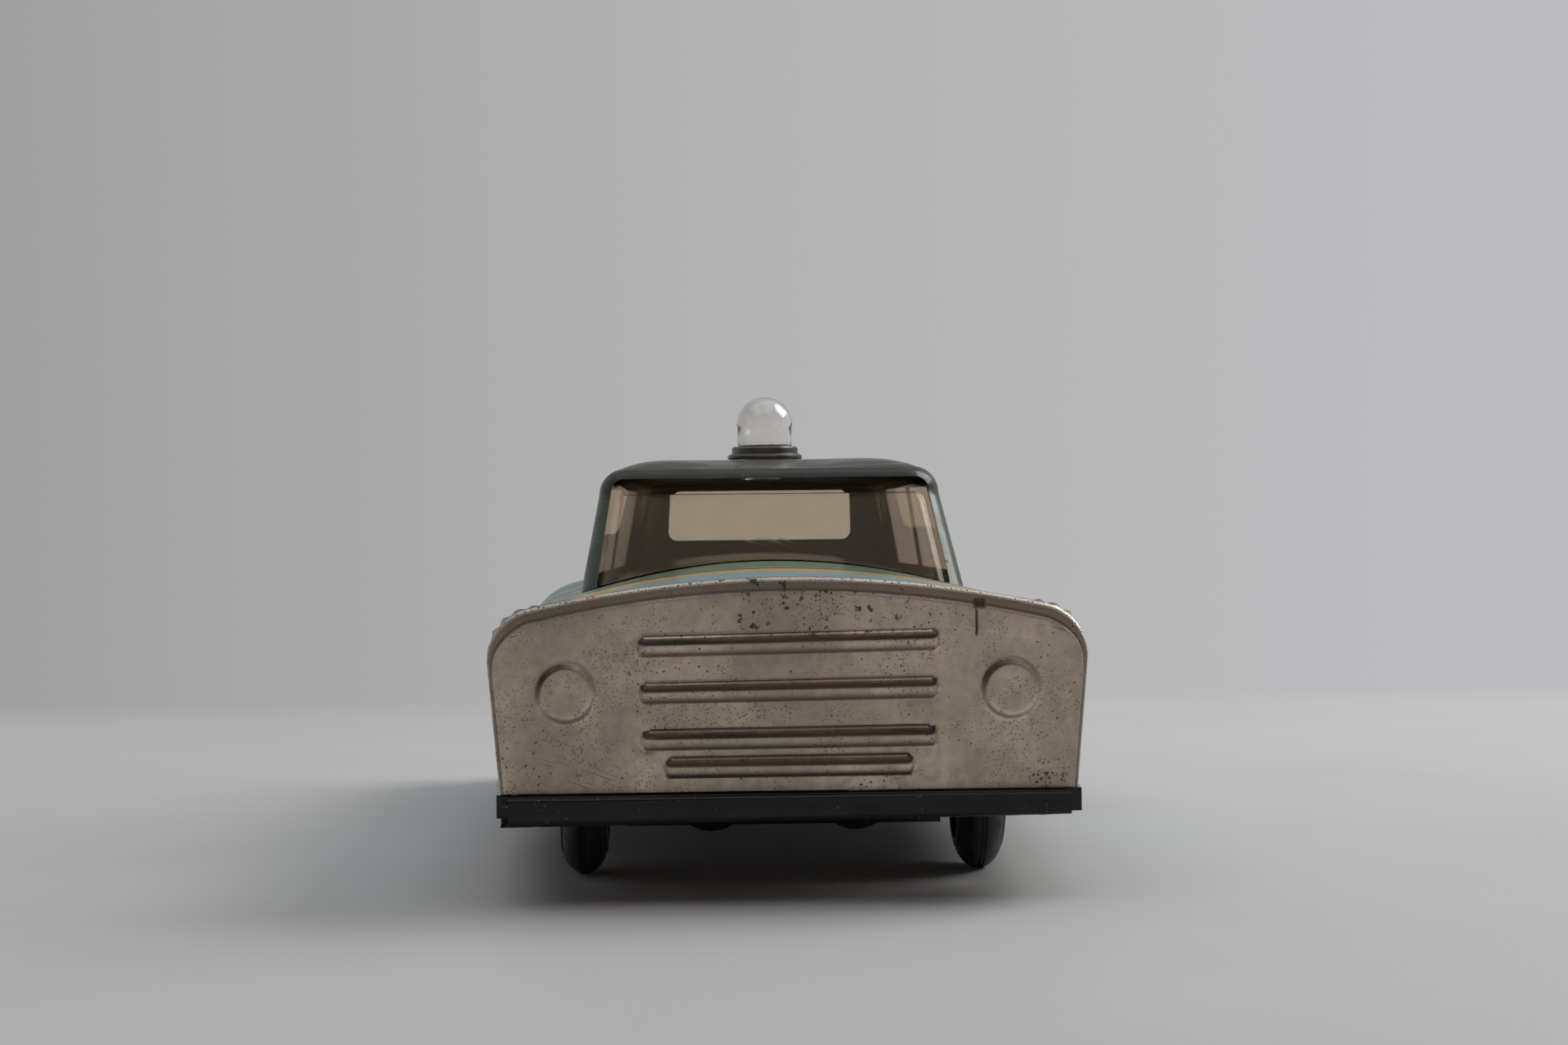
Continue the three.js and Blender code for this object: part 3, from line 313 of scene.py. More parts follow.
def smooth_step(value, low, high):
    share = min(1.0, max(0.0, (value - low) / (high - low)))
    return share * share * (3 - 2 * share)


def lerp(a, b, share):
    return a + (b - a) * share


# ---------------------------------------------------------------- finishes


class Wire:
    """A shader socket that adds Math nodes when it stands in an expression."""

    def __init__(self, finish, socket):
        self.finish = finish
        self.socket = socket

    def math(self, operation, *values):
        return self.finish.node("Math", {"operation": operation}, dict(enumerate(values)))

    def __add__(self, other):
        return self.math("ADD", self, other)

    def __sub__(self, other):
        return self.math("SUBTRACT", self, other)

    def __rsub__(self, other):
        return self.math("SUBTRACT", other, self)

    def __mul__(self, other):
        return self.math("MULTIPLY", self, other)

    def __truediv__(self, other):
        return self.math("DIVIDE", self, other)

    def __or__(self, other):
        return self.math("MAXIMUM", self, other)

    def __and__(self, other):
        return self.math("MINIMUM", self, other)

    def __pow__(self, exponent):
        return self.math("POWER", self, exponent)

    def __abs__(self):
        return self.math("ABSOLUTE", self)

    __radd__ = __add__
    __rmul__ = __mul__


class Finish:
    """A material on a Principled shader, with the few textures that the car's finishes share."""

    def __init__(self, name, **constants):
        self.material = bpy.data.materials.new(name)
        self.material.use_nodes = True
        self.tree = self.material.node_tree
        self.shader = self.tree.nodes["Principled BSDF"]
        self.places = {}
        for socket, value in constants.items():
            self.set(socket.replace("_", " "), value)

    def set(self, socket, value):
        self.fill(self.shader.inputs[socket], value)

    def fill(self, socket, value):
        if isinstance(value, Wire):
            self.tree.links.new(value.socket, socket)
        elif isinstance(value, tuple) and len(value) == 3 and socket.type == "RGBA":
            socket.default_value = (*value, 1)
        else:
            socket.default_value = value

    def node(self, kind, settings, sockets, take=0, stops=()):
        """Adds a node: its settings and stops first, then its sockets' values or links."""
        node = self.tree.nodes.new("ShaderNode" + kind)
        for key, value in settings.items():
            setattr(node, key, value)
        ramp = node.color_ramp.elements if stops else ()
        for index, (place, colour) in enumerate(stops):
            stop = ramp[index] if index < len(ramp) else ramp.new(place)
            stop.position = place
            stop.color = (*colour, 1)
        for key, value in sockets.items():
            self.fill(node.inputs[key], value)
        return Wire(self, node.outputs[take])

    def place(self, stretch=(1, 1, 1), turn=(0, 0, 0)):
        """Object coordinates in millimetres from the CAD origin, turned and then stretched."""
        key = (stretch, turn)
        if key not in self.places:
            where = self.node("TexCoord", {}, {}, "Object")
            sockets = {"Vector": where, "Rotation": turn, "Scale": tuple(MM / s for s in stretch)}
            self.places[key] = self.node("Mapping", {"vector_type": "TEXTURE"}, sockets)
        return self.places[key]

    def axes(self):
        """X, Y and Z in millimetres from the chassis underside."""
        split = self.node("SeparateXYZ", {}, {"Vector": self.place()})
        x, y, z = (Wire(self, split.socket.node.outputs[i]) for i in range(3))
        return x, y, z - UNDERSIDE / MM

    def grain(self, scale, detail=3.0, rough=0.55, stretch=(1, 1, 1), turn=(0, 0, 0)):
        """Noise from 0 to 1 with so many features a millimetre."""
        sockets = {
            "Vector": self.place(stretch, turn),
            "Scale": scale,
            "Detail": detail,
            "Roughness": rough,
        }
        return self.node("TexNoise", {}, sockets)

    def pits(self, scale, size):
        """Small round spots, 1 at their middles, about scale of them to a millimetre."""
        cells = self.node("TexVoronoi", {}, {"Vector": self.place(), "Scale": scale}, "Distance")
        return self.fade(cells, size, size * 0.4)

    def fade(self, value, low, high):
        """0 up to low and 1 from high, smoothly in between; high may be the smaller."""
        sockets = {"Value": value, "From Min": low, "From Max": high}
        return self.node("MapRange", {"interpolation_type": "SMOOTHSTEP"}, sockets)

    def band(self, value, middle, half, soft=0.12):
        """1 within half of the middle."""
        return self.fade(abs(value - middle), half + soft, half)

    def scratches(self, angle, density=0.62):
        """Hair lines in the plane of X and Z."""
        lines = self.grain(1, 2.0, 0.5, (0.18, 0.18, 9), (0, math.radians(angle), 0))
        return self.fade(lines, density, density + 0.05)

    def blend(self, share, first, second):
        """A mix of two colours."""
        mix = self.tree.nodes.new("ShaderNodeMix")
        mix.data_type = "RGBA"
        self.fill(mix.inputs[0], share)
        self.fill(mix.inputs[6], first)
        self.fill(mix.inputs[7], second)
        return Wire(self, mix.outputs[2])

    def attribute(self, name):
        return self.node("Attribute", {"attribute_name": name}, {}, "Fac")

    def relief(self, height, depth):
        """Bumps the surface by height times depth, in millimetres."""
        self.set(
            "Normal",
            self.node("Bump", {}, {"Height": height, "Distance": depth * MM, "Strength": 1.0}),
        )


TIN_LIGHT = (0.74, 0.632, 0.52)
TIN_DULL = (0.545, 0.478, 0.405)
RUST_DARK = (0.03, 0.019, 0.012)
RUST = (0.065, 0.034, 0.02)
PRINT_BLUE = (0.22, 0.37, 0.42)
PRINT_YELLOW = (0.62, 0.34, 0.025)
PRINT_GREEN = (0.06, 0.15, 0.085)
PRINT_DARK = (0.012, 0.02, 0.014)
PRINT_RED = (0.20, 0.04, 0.02)
# The inner lacquer, painted near black as the shade inside the body and cabin.
LACQUER_IN_SHADE = (0.035, 0.023, 0.012)


def paint_pressing_shade(f, colour, z):
    """Paints light and shade into the tin's colour: a painted reflection of the dark room on the beads'
    upper flanks and the lamps' upper walls, a darker painted lower half on the beads, painted shade in the
    creases, in the gutter and step inside the rim and on the crimped corners, and a painted highlight along
    the fold.
    """
    rib = f.attribute("rib")
    rim = f.attribute("rim")
    upper = f.fade(rib, 0.02, 0.24) * f.fade(rib, 0.90, 0.74)
    lower = f.fade(rib, 0.05, -0.75)
    crease = f.fade(rib, -0.82, -0.95) | f.fade(rib, 0.90, 0.97)
    gutter = f.fade(rim, 0.44, 0.50) * f.fade(rim, 0.78, 0.64)
    step = f.band(rim, 0.42, 0.03, 0.07)
    fold = f.band(rim, 0.97, 0.06, 0.12)
    crimped = f.fade(rim, 1.0, 1.25) * f.fade(z, 12.5, 16.0)
    streak = f.fade(f.grain(1, 3.0, 0.6, (0.06, 1, 0.9)), 0.42, 0.58)
    shadow = f.blend(streak, (0.045, 0.032, 0.028), (0.13, 0.068, 0.055))
    # Every share below is painted light or shade in the tin's colour: reflection, shade in creases and
    # hollows, and the fold's highlight.
    for share, tone in (
        (upper * 0.9, shadow),
        (lower * 0.7, (0.23, 0.195, 0.16)),
        (crease * 0.75, (0.05, 0.035, 0.028)),
        (gutter * 0.6, (0.20, 0.165, 0.14)),
        (step * 0.7, (0.10, 0.08, 0.065)),
        (fold * 0.4, (0.60, 0.57, 0.53)),
        (crimped * 0.75, (0.13, 0.11, 0.095)),
    ):
        colour = f.blend(share, colour, tone)
    return colour


def wear_pressing(f, x, z):
    """Where a pressed panel is pitted or scratched, and where it has rusted, each from 0 to 1."""
    rim = f.attribute("rim")
    edge_pits = f.pits(2.3, 0.36) * f.fade(rim, 0.60, 0.95) * f.fade(f.grain(0.4), 0.36, 0.52)
    lower_corner = f.fade(x, -14.0, -19.0) * f.fade(z, 8.5, 4.5)
    hair = (f.scratches(20, 0.65) | f.scratches(-35, 0.67)) * lower_corner * 0.55
    other_corner = f.band(x, 26.5, 1.3, 1.2) * f.fade(z, 4.2, 2.2)
    corner_pits = f.pits(2.3, 0.42) * other_corner * f.fade(f.grain(0.9), 0.40, 0.5)
    over_beads = f.fade(z, 15.8, 17.0) * f.band(x, 2.0, 8.0, 5.0)
    blotches = over_beads * f.fade(f.grain(1.1, 4.0), 0.61, 0.65)
    run = f.band(x, 19.4, 0.09, 0.1) * f.band(z, 17.6, 1.1, 0.6) * f.fade(f.grain(1.3), 0.32, 0.5)
    source = f.band(x, 19.7, 0.45, 0.35) * f.band(z, 19.5, 0.35, 0.35)
    source = source * f.fade(f.grain(1.6), 0.3, 0.42)
    return edge_pits | hair | corner_pits, blotches | run | source


def bare_tin(name, pressed):
    """Dull tinplate with pits and rust spots; a pressed panel also gets painted shade, reflection and
    highlight along its shapes, and pits, scratches and rust patches of its own.
    """
    f = Finish(name, Metallic=1.0, IOR=1.5)
    x, _, z = f.axes()
    clouds = f.fade(f.grain(0.09, 4.0), 0.35, 0.65)
    mottle = f.fade(f.grain(0.9, 5.0, 0.65), 0.38, 0.68)
    colour = f.blend(clouds, TIN_LIGHT, TIN_DULL)
    colour = f.blend(mottle * 0.35, colour, (0.43, 0.37, 0.31))
    coarse = f.pits(1.3, 0.19) * f.fade(f.grain(0.11, 3.0, 0.6), 0.46, 0.60)
    fine = f.pits(3.2, 0.30) * f.fade(f.grain(0.17, 4.0, 0.7), 0.46, 0.56)
    spots = coarse | fine * 0.8
    rust = f.fade(f.grain(1.5, 4.0, 0.6), 0.66, 0.71)
    if pressed:
        # Painted shade, reflection and highlight along the pressing's beads, lamps and rim.
        colour = paint_pressing_shade(f, colour, z)
        marks, patches = wear_pressing(f, x, z)
        spots = spots | marks
        rust = rust * f.fade(f.grain(0.05), 0.52, 0.62) | patches
    else:
        rust = rust * f.fade(f.grain(0.07), 0.48, 0.60)
    worn = rust | spots
    colour = f.blend(spots * 0.85, colour, RUST_DARK)
    f.set("Base Color", f.blend(rust * 0.9, colour, RUST))
    f.set("Metallic", 1 - worn * 0.85)
    f.set("Roughness", 0.40 + clouds * 0.10 + mottle * 0.10 + worn * 0.35)
    f.relief(mottle * 0.15 + f.grain(3.0, 3.0) * 0.12 - spots * 0.9 - rust * 0.3, 0.05)
    return f.material


def finish_print(f, colour, wear_scale):
    """Wear, dust and gloss that every printed tinplate surface shares."""
    wear = f.fade(f.grain(wear_scale, 5.0, 0.65), 0.67, 0.70)
    specks = f.pits(1.1, 0.13) * f.fade(f.grain(0.12), 0.45, 0.6)
    dirt = f.fade(f.grain(0.16, 4.0), 0.40, 0.72)
    hair = f.fade(f.grain(1, 2.0, 0.5, (0.1, 0.12, 5)), 0.66, 0.72) * 0.5
    bare = wear | specks
    colour = f.blend(dirt * 0.28, colour, (0.05, 0.035, 0.02))
    colour = f.blend(hair * 0.4, colour, (0.45, 0.42, 0.38))
    colour = f.blend(bare * 0.85, colour, (0.16, 0.085, 0.04))
    f.set("Base Color", colour)
    f.set("Roughness", 0.30 + dirt * 0.18 + bare * 0.3)
    f.set("Metallic", bare * 0.5)
    f.set("Coat Weight", 0.2 - bare * 0.18)
    f.relief(f.grain(0.7, 3.0) * 0.35 + f.grain(4.0, 2.0) * 0.06 - bare * 0.35, 0.04)
    return f.material


def oval(across, half_width, ahead, reach):
    """1 on a squarish oval about a point, less inside it."""
    wide = abs(across / half_width) ** 4
    long = abs(ahead / reach) ** 4
    return (wide + long) ** 0.25


# The print on the sides: the blue's upper edge, and doors that share a sill and a top.
BLUE_TOP = 12.6
DOOR_EDGES = (-19.5, 6.5, 29.6)
DOOR_SILL, DOOR_TOP = 3.6, 21.0
SILL_MIDDLE_Y, SILL_HALF_LENGTH = 5.05, 24.5
DOOR_LINE = 0.12
HANDLES = (3.0, 26.4)
HANDLE_Z = 16.6


def printed_doors(f, y, z):
    """The doors' outlines and their handles, each from 0 to 1."""
    front, post, back = DOOR_EDGES
    sill = f.band(z, DOOR_SILL, DOOR_LINE) * f.band(y, SILL_MIDDLE_Y, SILL_HALF_LENGTH)
    posts = f.band(y, front, DOOR_LINE) | f.band(y, post, DOOR_LINE) | f.band(y, back, DOOR_LINE)
    posts = posts * f.band(z, (DOOR_SILL + DOOR_TOP) / 2, (DOOR_TOP - DOOR_SILL) / 2)
    ahead, behind = HANDLES
    handles = (f.band(y, ahead, 1.6) | f.band(y, behind, 1.6)) * f.band(z, HANDLE_Z, 0.35)
    return posts | sill, handles


def printed_body():
    """The litho print: blue panels on bonnet, boot and lower sides, edged in yellow on a green ground, with
    painted shade on the deck under the cabin.
    """
    f = Finish("printed_body", Coat_Roughness=0.12)
    x, y, z = f.axes()
    bonnet = (oval(x, 20.5, y - GRILLE_Y, 20.5) - 1) * 14
    boot = (oval(x, 21.0, TAIL_Y - y, 24.0) - 1) * 14
    side = z - BLUE_TOP
    arcs = bonnet & boot
    inner = arcs & side
    yellow = f.band(arcs, 1.35, 1.35, 0.2) | f.band(side, 0.85, 0.85) * f.fade(arcs, -0.1, 0.1)
    line = f.band(arcs, 3.7, 0.25) * f.fade(z, 15.6, 16.2) | f.band(side, 2.45, 0.16)
    red = f.band(arcs, 4.0, 0.6, 0.4) * f.fade(x, -12.0, -15.0) * f.fade(z, 17.5, 18.5)
    flanks = f.fade(abs(x), 26.0, 27.0)
    doors, handles = printed_doors(f, y, z)
    under_cabin = f.band(y, (COWL_Y + REAR_DECK_Y) / 2 + 1, 27.0, 1.0) * f.fade(z, 17, 18)
    colour = f.blend(f.fade(inner, 0.1, -0.1), PRINT_GREEN, PRINT_BLUE)
    for share, tone in (
        (f.fade(inner, 0.0, -9.0) * 0.3, (0.30, 0.47, 0.52)),
        (yellow, PRINT_YELLOW),
        (red * 0.85, PRINT_RED),
        (line | doors * flanks, PRINT_DARK),
        (handles * flanks, (0.45, 0.44, 0.40)),
        # Painted shade of the cabin's inside, on the deck under it.
        (f.band(x, 0.0, 18.6, 0.6) * under_cabin, (0.035, 0.024, 0.014)),
    ):
        colour = f.blend(share, colour, tone)
    return finish_print(f, colour, 0.36)


def printed_cabin():
    """Dark green print, darkest round the roof's edge."""
    f = Finish("printed_cabin", IOR=1.3, Coat_Roughness=0.1)
    _, _, z = f.axes()
    roof = f.fade(z, ROOF_TOP + 0.5, ROOF_TOP + 1.1)
    edge = f.fade(z, WALL_EDGE - 0.5, WALL_EDGE + 0.8)
    colour = f.blend(edge, (0.035, 0.062, 0.04), (0.024, 0.029, 0.02))
    colour = f.blend(roof, colour, (0.07, 0.11, 0.075))
    return finish_print(f, colour, 0.37)


def shade_darkened_lacquer():
    """The inside of a printed pressing: goldish lacquer over tin, painted dark as the shade inside the body
    and cabin.
    """
    f = Finish("shade_darkened_lacquer", Metallic=0.3)
    clouds = f.fade(f.grain(0.12, 4.0), 0.35, 0.7)
    colour = f.blend(clouds, LACQUER_IN_SHADE, (0.020, 0.013, 0.008))
    f.set("Base Color", colour)
    f.set("Roughness", 0.42 + clouds * 0.2)
    f.relief(f.grain(1.2, 3.0), 0.02)
    return f.material


def black_enamel(name, chips, black):
    """Glossy black stoving enamel, chipped to bright tin."""
    f = Finish(name, IOR=1.35, Coat_Roughness=0.06)
    dust = f.fade(f.grain(0.25, 4.0, 0.6), 0.45, 0.75)
    chip = f.pits(2.2, 0.13) * f.fade(f.grain(0.3, 3.0), 0.60 - chips, 0.66 - chips)
    hair = f.fade(f.grain(1, 2.0, 0.5, (0.12, 4, 4)), 0.68, 0.74)
    colour = f.blend(dust * 0.25, (black, black, black), (0.016, 0.014, 0.012))
    colour = f.blend(hair * 0.2, colour, (0.05, 0.05, 0.05))
    colour = f.blend(chip, colour, (0.55, 0.50, 0.45))
    f.set("Base Color", colour)
    f.set("Metallic", chip * 0.9)
    f.set("Roughness", 0.16 + dust * 0.22 + chip * 0.2)
    f.set("Coat Weight", 0.14 - dust * 0.1)
    f.relief(f.grain(0.8, 3.0) * 0.4 - chip * 0.5, 0.03)
    return f.material


def tinted_plastic():
    """Smoke-brown transparent window plastic with faint haze and scratches."""
    f = Finish("tinted_plastic", Transmission_Weight=1.0, IOR=1.3, Specular_Tint=(0.8, 0.62, 0.42))
    haze = f.fade(f.grain(0.3, 4.0), 0.4, 0.75)
    hair = f.fade(f.grain(1, 2.0, 0.5, (0.15, 0.15, 5), (0.4, 0.2, 0)), 0.66, 0.72)
    f.set("Base Color", f.blend(haze * 0.5, (0.80, 0.715, 0.61), (0.72, 0.63, 0.52)))
    f.set("Roughness", 0.02 + haze * 0.02 + hair * 0.08)
    return f.material


def clear_plastic():
    """Clear moulded plastic, slightly yellowed and scuffed."""
    f = Finish("clear_plastic", Transmission_Weight=1.0, IOR=1.46)
    scuff = f.fade(f.grain(0.8, 4.0), 0.45, 0.72)
    f.set("Base Color", f.blend(scuff, (0.97, 0.965, 0.95), (0.90, 0.885, 0.85)))
    f.set("Roughness", 0.04 + scuff * 0.10)
    f.relief(f.grain(0.9, 3.0), 0.015)
    return f.material


def black_rubber():
    f = Finish("black_rubber", IOR=1.5)
    dust = f.fade(f.grain(0.5, 5.0, 0.65), 0.40, 0.75)
    colour = f.blend(dust * 0.5, (0.010, 0.010, 0.011), (0.055, 0.05, 0.045))
    f.set("Base Color", colour)
    f.set("Roughness", 0.38 + dust * 0.35)
    f.relief(f.grain(3.0, 4.0) * 0.5 + f.grain(0.6) * 0.5, 0.03)
    return f.material


def plated_metal(name, light, dark, tarnish, roughness, stretch):
    """Worn metal: fine tool lines along one direction, clouds of tarnish and dark oily spots."""
    f = Finish(name, Metallic=1.0)
    clouds = f.fade(f.grain(0.2, 4.0, 0.6), 0.35, 0.7)
    lines = f.grain(2.0, 2.0, 0.5, stretch)
    spots = f.fade(f.grain(0.8, 4.0, 0.6), 0.64, 0.70)
    colour = f.blend(clouds, light, dark)
    colour = f.blend(spots * 0.6, colour, tarnish)
    f.set("Base Color", colour)
    f.set("Roughness", roughness + clouds * 0.15 + spots * 0.25)
    f.set("Metallic", 1 - spots * 0.6)
    f.relief(lines * 0.5 - spots * 0.5, 0.012)
    return f.material


grille_tin = bare_tin("bare_tin_pressed", True)
hub_tin = bare_tin("bare_tin_plain", False)
body_print = printed_body()
cabin_print = printed_cabin()
inner_shaded_lacquer = shade_darkened_lacquer()
bumper_enamel = black_enamel("bumper_enamel", 0.06, 0.003)
# The chassis's black is painted lighter than the bumper's: painted light lifting the shaded underside.
chassis_enamel = black_enamel("chassis_enamel", 0.0, 0.011)
window_plastic = tinted_plastic()
dome_plastic = clear_plastic()
tyre_rubber = black_rubber()
METALS = [
    ("steel", (0.56, 0.55, 0.53), (0.38, 0.37, 0.35), (0.10, 0.06, 0.035), 0.30, (1, 9, 1)),
    ("blued_spring_steel", (0.16, 0.17, 0.20), (0.09, 0.10, 0.13), (0.06, 0.04, 0.03), 0.26, (9, 1, 1)),
    ("darkened_tin", (0.15, 0.145, 0.13), (0.07, 0.068, 0.06), (0.03, 0.025, 0.02), 0.34, (1, 1, 1)),
    ("brass", (0.66, 0.47, 0.20), (0.45, 0.30, 0.12), (0.12, 0.07, 0.03), 0.28, (1, 9, 1)),
]
steel, blued_steel, collar_tin, brass = [plated_metal(*values) for values in METALS]


# ---------------------------------------------------------------- body pressings

SHELL_HALF_LENGTH = TAIL_Y - FOOT
SHELL_END_HALF_WIDTH = END_HALF_WIDTH - FOOT
STRAIGHT_FROM = TAIL_Y - PANEL_DEPTH - TRIM - 0.5


def roundness(y):
    """Radii of the outline's crown and shoulder, which change from the middle of the body to its ends."""
    along = min(1.0, abs(y) / STRAIGHT_FROM) ** 2
    return lerp(MIDDLE_CROWN, END_CROWN, along), lerp(MIDDLE_SHOULDER, END_SHOULDER, along)


def section_parts(y, half_width, top):
    """Lengths of the outline's arch, shoulder and side, and the centres and angle that they turn on."""
    crown, shoulder = roundness(y)
    centre_x = half_width - shoulder
    slope = math.asin(centre_x / (crown - shoulder))
    centre_z = top - crown + (crown - shoulder) * math.cos(slope)
    lengths = (crown * slope, shoulder * (math.pi / 2 - slope), centre_z - FOOT)
    return lengths, centre_x, centre_z, slope


def section_point(y, half_width, top, share, inset=0.0):
    """A point on the body's outline. share is -1 at the right foot, 0 on the crown, 1 at the left foot."""
    crown, shoulder = roundness(y)
    (arch, turn, side), centre_x, centre_z, slope = section_parts(y, half_width, top)
    along = abs(share) * (arch + turn + side)
    if along < arch:
        angle = along / crown
        x = (crown - inset) * math.sin(angle)
        z = top - crown + (crown - inset) * math.cos(angle)
    elif along < arch + turn:
        angle = slope + (along - arch) / shoulder
        x = centre_x + (shoulder - inset) * math.sin(angle)
        z = centre_z + (shoulder - inset) * math.cos(angle)
    else:
        drop = along - arch - turn
        x = half_width - inset - SIDE_LEAN * drop / side
        z = centre_z - drop
    return math.copysign(x, share), z


def shell_half_width(y):
    along = min(1.0, abs(y) / STRAIGHT_FROM)
    return MIDDLE_HALF_WIDTH - (MIDDLE_HALF_WIDTH - SHELL_END_HALF_WIDTH) * along**2


def shell_top(y):
    edge, end, end_top = (
        (COWL_Y, -STRAIGHT_FROM, GRILLE_TOP) if y < 0 else (REAR_DECK_Y, STRAIGHT_FROM, TAIL_TOP)
    )
    along = min(1.0, max(0.0, (y - edge) / (end - edge)))
    return BELT - (BELT - (end_top - FOOT)) * along**2


def deck_z(x, y):
    """Height of the body's top under the cabin's walls."""
    crown, _ = roundness(y)
    return shell_top(y) - crown + math.sqrt(crown**2 - x**2)


def tab_strip(line, y0, y1, thickness):
    """A bent strip: a line of (x, z) points drawn out in Y and thickened."""
    bm = bmesh.new()
    verts = [bm.verts.new((x, y0, z)) for x, z in line]
    edges = [bm.edges.new(pair) for pair in zip(verts, verts[1:])]
    extend(bm, edges, lambda vert: Vector((vert.co.x, y1, vert.co.z)))
    bmesh.ops.solidify(bm, geom=bm.faces[:], thickness=thickness)
    bmesh.ops.recalc_face_normals(bm, faces=bm.faces)
    return bm


def dented(co, amount, scale=0.06):
    """A small unevenness, the same each run."""
    return amount * noise.noise(co * scale)


def body_shell():
    bm = bmesh.new()
    bmesh.ops.create_grid(bm, x_segments=150, y_segments=120, size=1)
    for vert in bm.verts:
        y = vert.co.x * SHELL_HALF_LENGTH
        x, z = section_point(y, shell_half_width(y), shell_top(y), vert.co.y)
        vert.co = Vector((x, y, z))
    face_outwards(bm, (0, 0, 8))
    for vert in bm.verts:
        under_panel = smooth_step(abs(vert.co.y), STRAIGHT_FROM - 4, STRAIGHT_FROM - 14)
        vert.co -= vert.normal * abs(dented(vert.co, 0.14)) * under_panel
    settle(bm)
    piece = new_object(bm, "body_pressing", [body_print, inner_shaded_lacquer])
    give_wall(piece, SHEET * 0.8, 1)
    arches = [moved(drum(ARCH_RADIUS, -50, 50, 96), 0, a.y, a.z) for a in (FRONT_AXLE, REAR_AXLE)]
    arches.append(moved(drum(2.5, 5, 50, 48), 0, WINDING.y, WINDING.z))
    cut_away(piece, arches)
    add_body_tabs(piece)
    return fit(piece, "body", "litho_body", "body_shell")


TAB_LENGTH = 4.0


def add_body_tabs(piece):
    """Tabs that step in from the sides' feet, pass through the chassis plate and are bent over."""
    strips = []
    tab_x = SHELL_END_HALF_WIDTH - SIDE_LEAN - 2.2
    for y in (GRILLE_Y + 6.4, FRONT_AXLE.y + ARCH_RADIUS + 18, TAIL_Y - 9):
        foot_x = shell_half_width(y) - SIDE_LEAN
        for side in (-1, 1):
            line = [
                (side * (foot_x - 0.05), FOOT + 0.45),
                (side * (foot_x - 0.25), FOOT + 0.2),
                (side * (tab_x + 0.4), FOOT + 0.16),
                (side * (tab_x + 0.2), FOOT),
                (side * (tab_x + 0.2), -SEAT - 0.12),
                (side * tab_x, -SEAT - 0.28),
                (side * (tab_x - 1.9), -SEAT - 0.34),
            ]
            strips.append(tab_strip(line, y - TAB_LENGTH / 2, y + TAB_LENGTH / 2, 0.3))
    add_parts(piece, strips, 1)


# Beads and lamps pressed out of an end panel.
BEAD_RISE = 0.76
BEAD_HALF = 1.06
BEAD_END = 0.9
LAMP_INSET = 8.1
LAMP_Z = 10.7
LAMP_RADIUS = 3.15
LAMP_RISE = 0.62
LAMP_BEVEL = 0.62
PLATE_X = 26.6
PLATE_TOP = 17.2
BEAD_TILT = -0.00095


def bead_shape(x, z, beads):
    """How far the panel stands out on a bead, and how far up (1) or down (-1) its flank the point is."""
    for half, middle in beads:
        across = (z - middle) / BEAD_HALF
        beyond = max(0.0, abs(x) - (half - BEAD_END)) / BEAD_END
        inside = 1 - across**2 - beyond**3
        if inside > 0:
            return BEAD_RISE * inside**0.5, across * (1 - beyond**2)
    return 0.0, 0.0


def lamp_shape(x, z):
    """The same for a round lamp, whose flank counts as up where it looks up and to the car's right; there
    it gets the beads' painted shade.
    """
    aside, above = x - math.copysign(END_HALF_WIDTH - LAMP_INSET, x), z - LAMP_Z
    away = math.hypot(aside, above)
    rise = LAMP_RISE * smooth_step(away, LAMP_RADIUS + 0.1, LAMP_RADIUS - LAMP_BEVEL)
    wall = smooth_step(away, LAMP_RADIUS + 0.1, LAMP_RADIUS - 0.1)
    wall *= smooth_step(away, LAMP_RADIUS - 0.8, LAMP_RADIUS - 0.5)
    upward = max(0.0, 0.8 * above - 0.6 * aside) / max(away, 0.01)
    return rise - 0.10 * smooth_step(away, LAMP_RADIUS - 0.9, 0.2), 0.24 * wall * upward


def dent_shape(x, z, dents):
    """How far the panel stands out at shallow dents, each its x, z, reach and depth."""
    return sum(
        depth * math.exp(-((x - dent_x) ** 2 + (z - dent_z) ** 2) / reach**2)
        for dent_x, dent_z, reach, depth in dents
    )


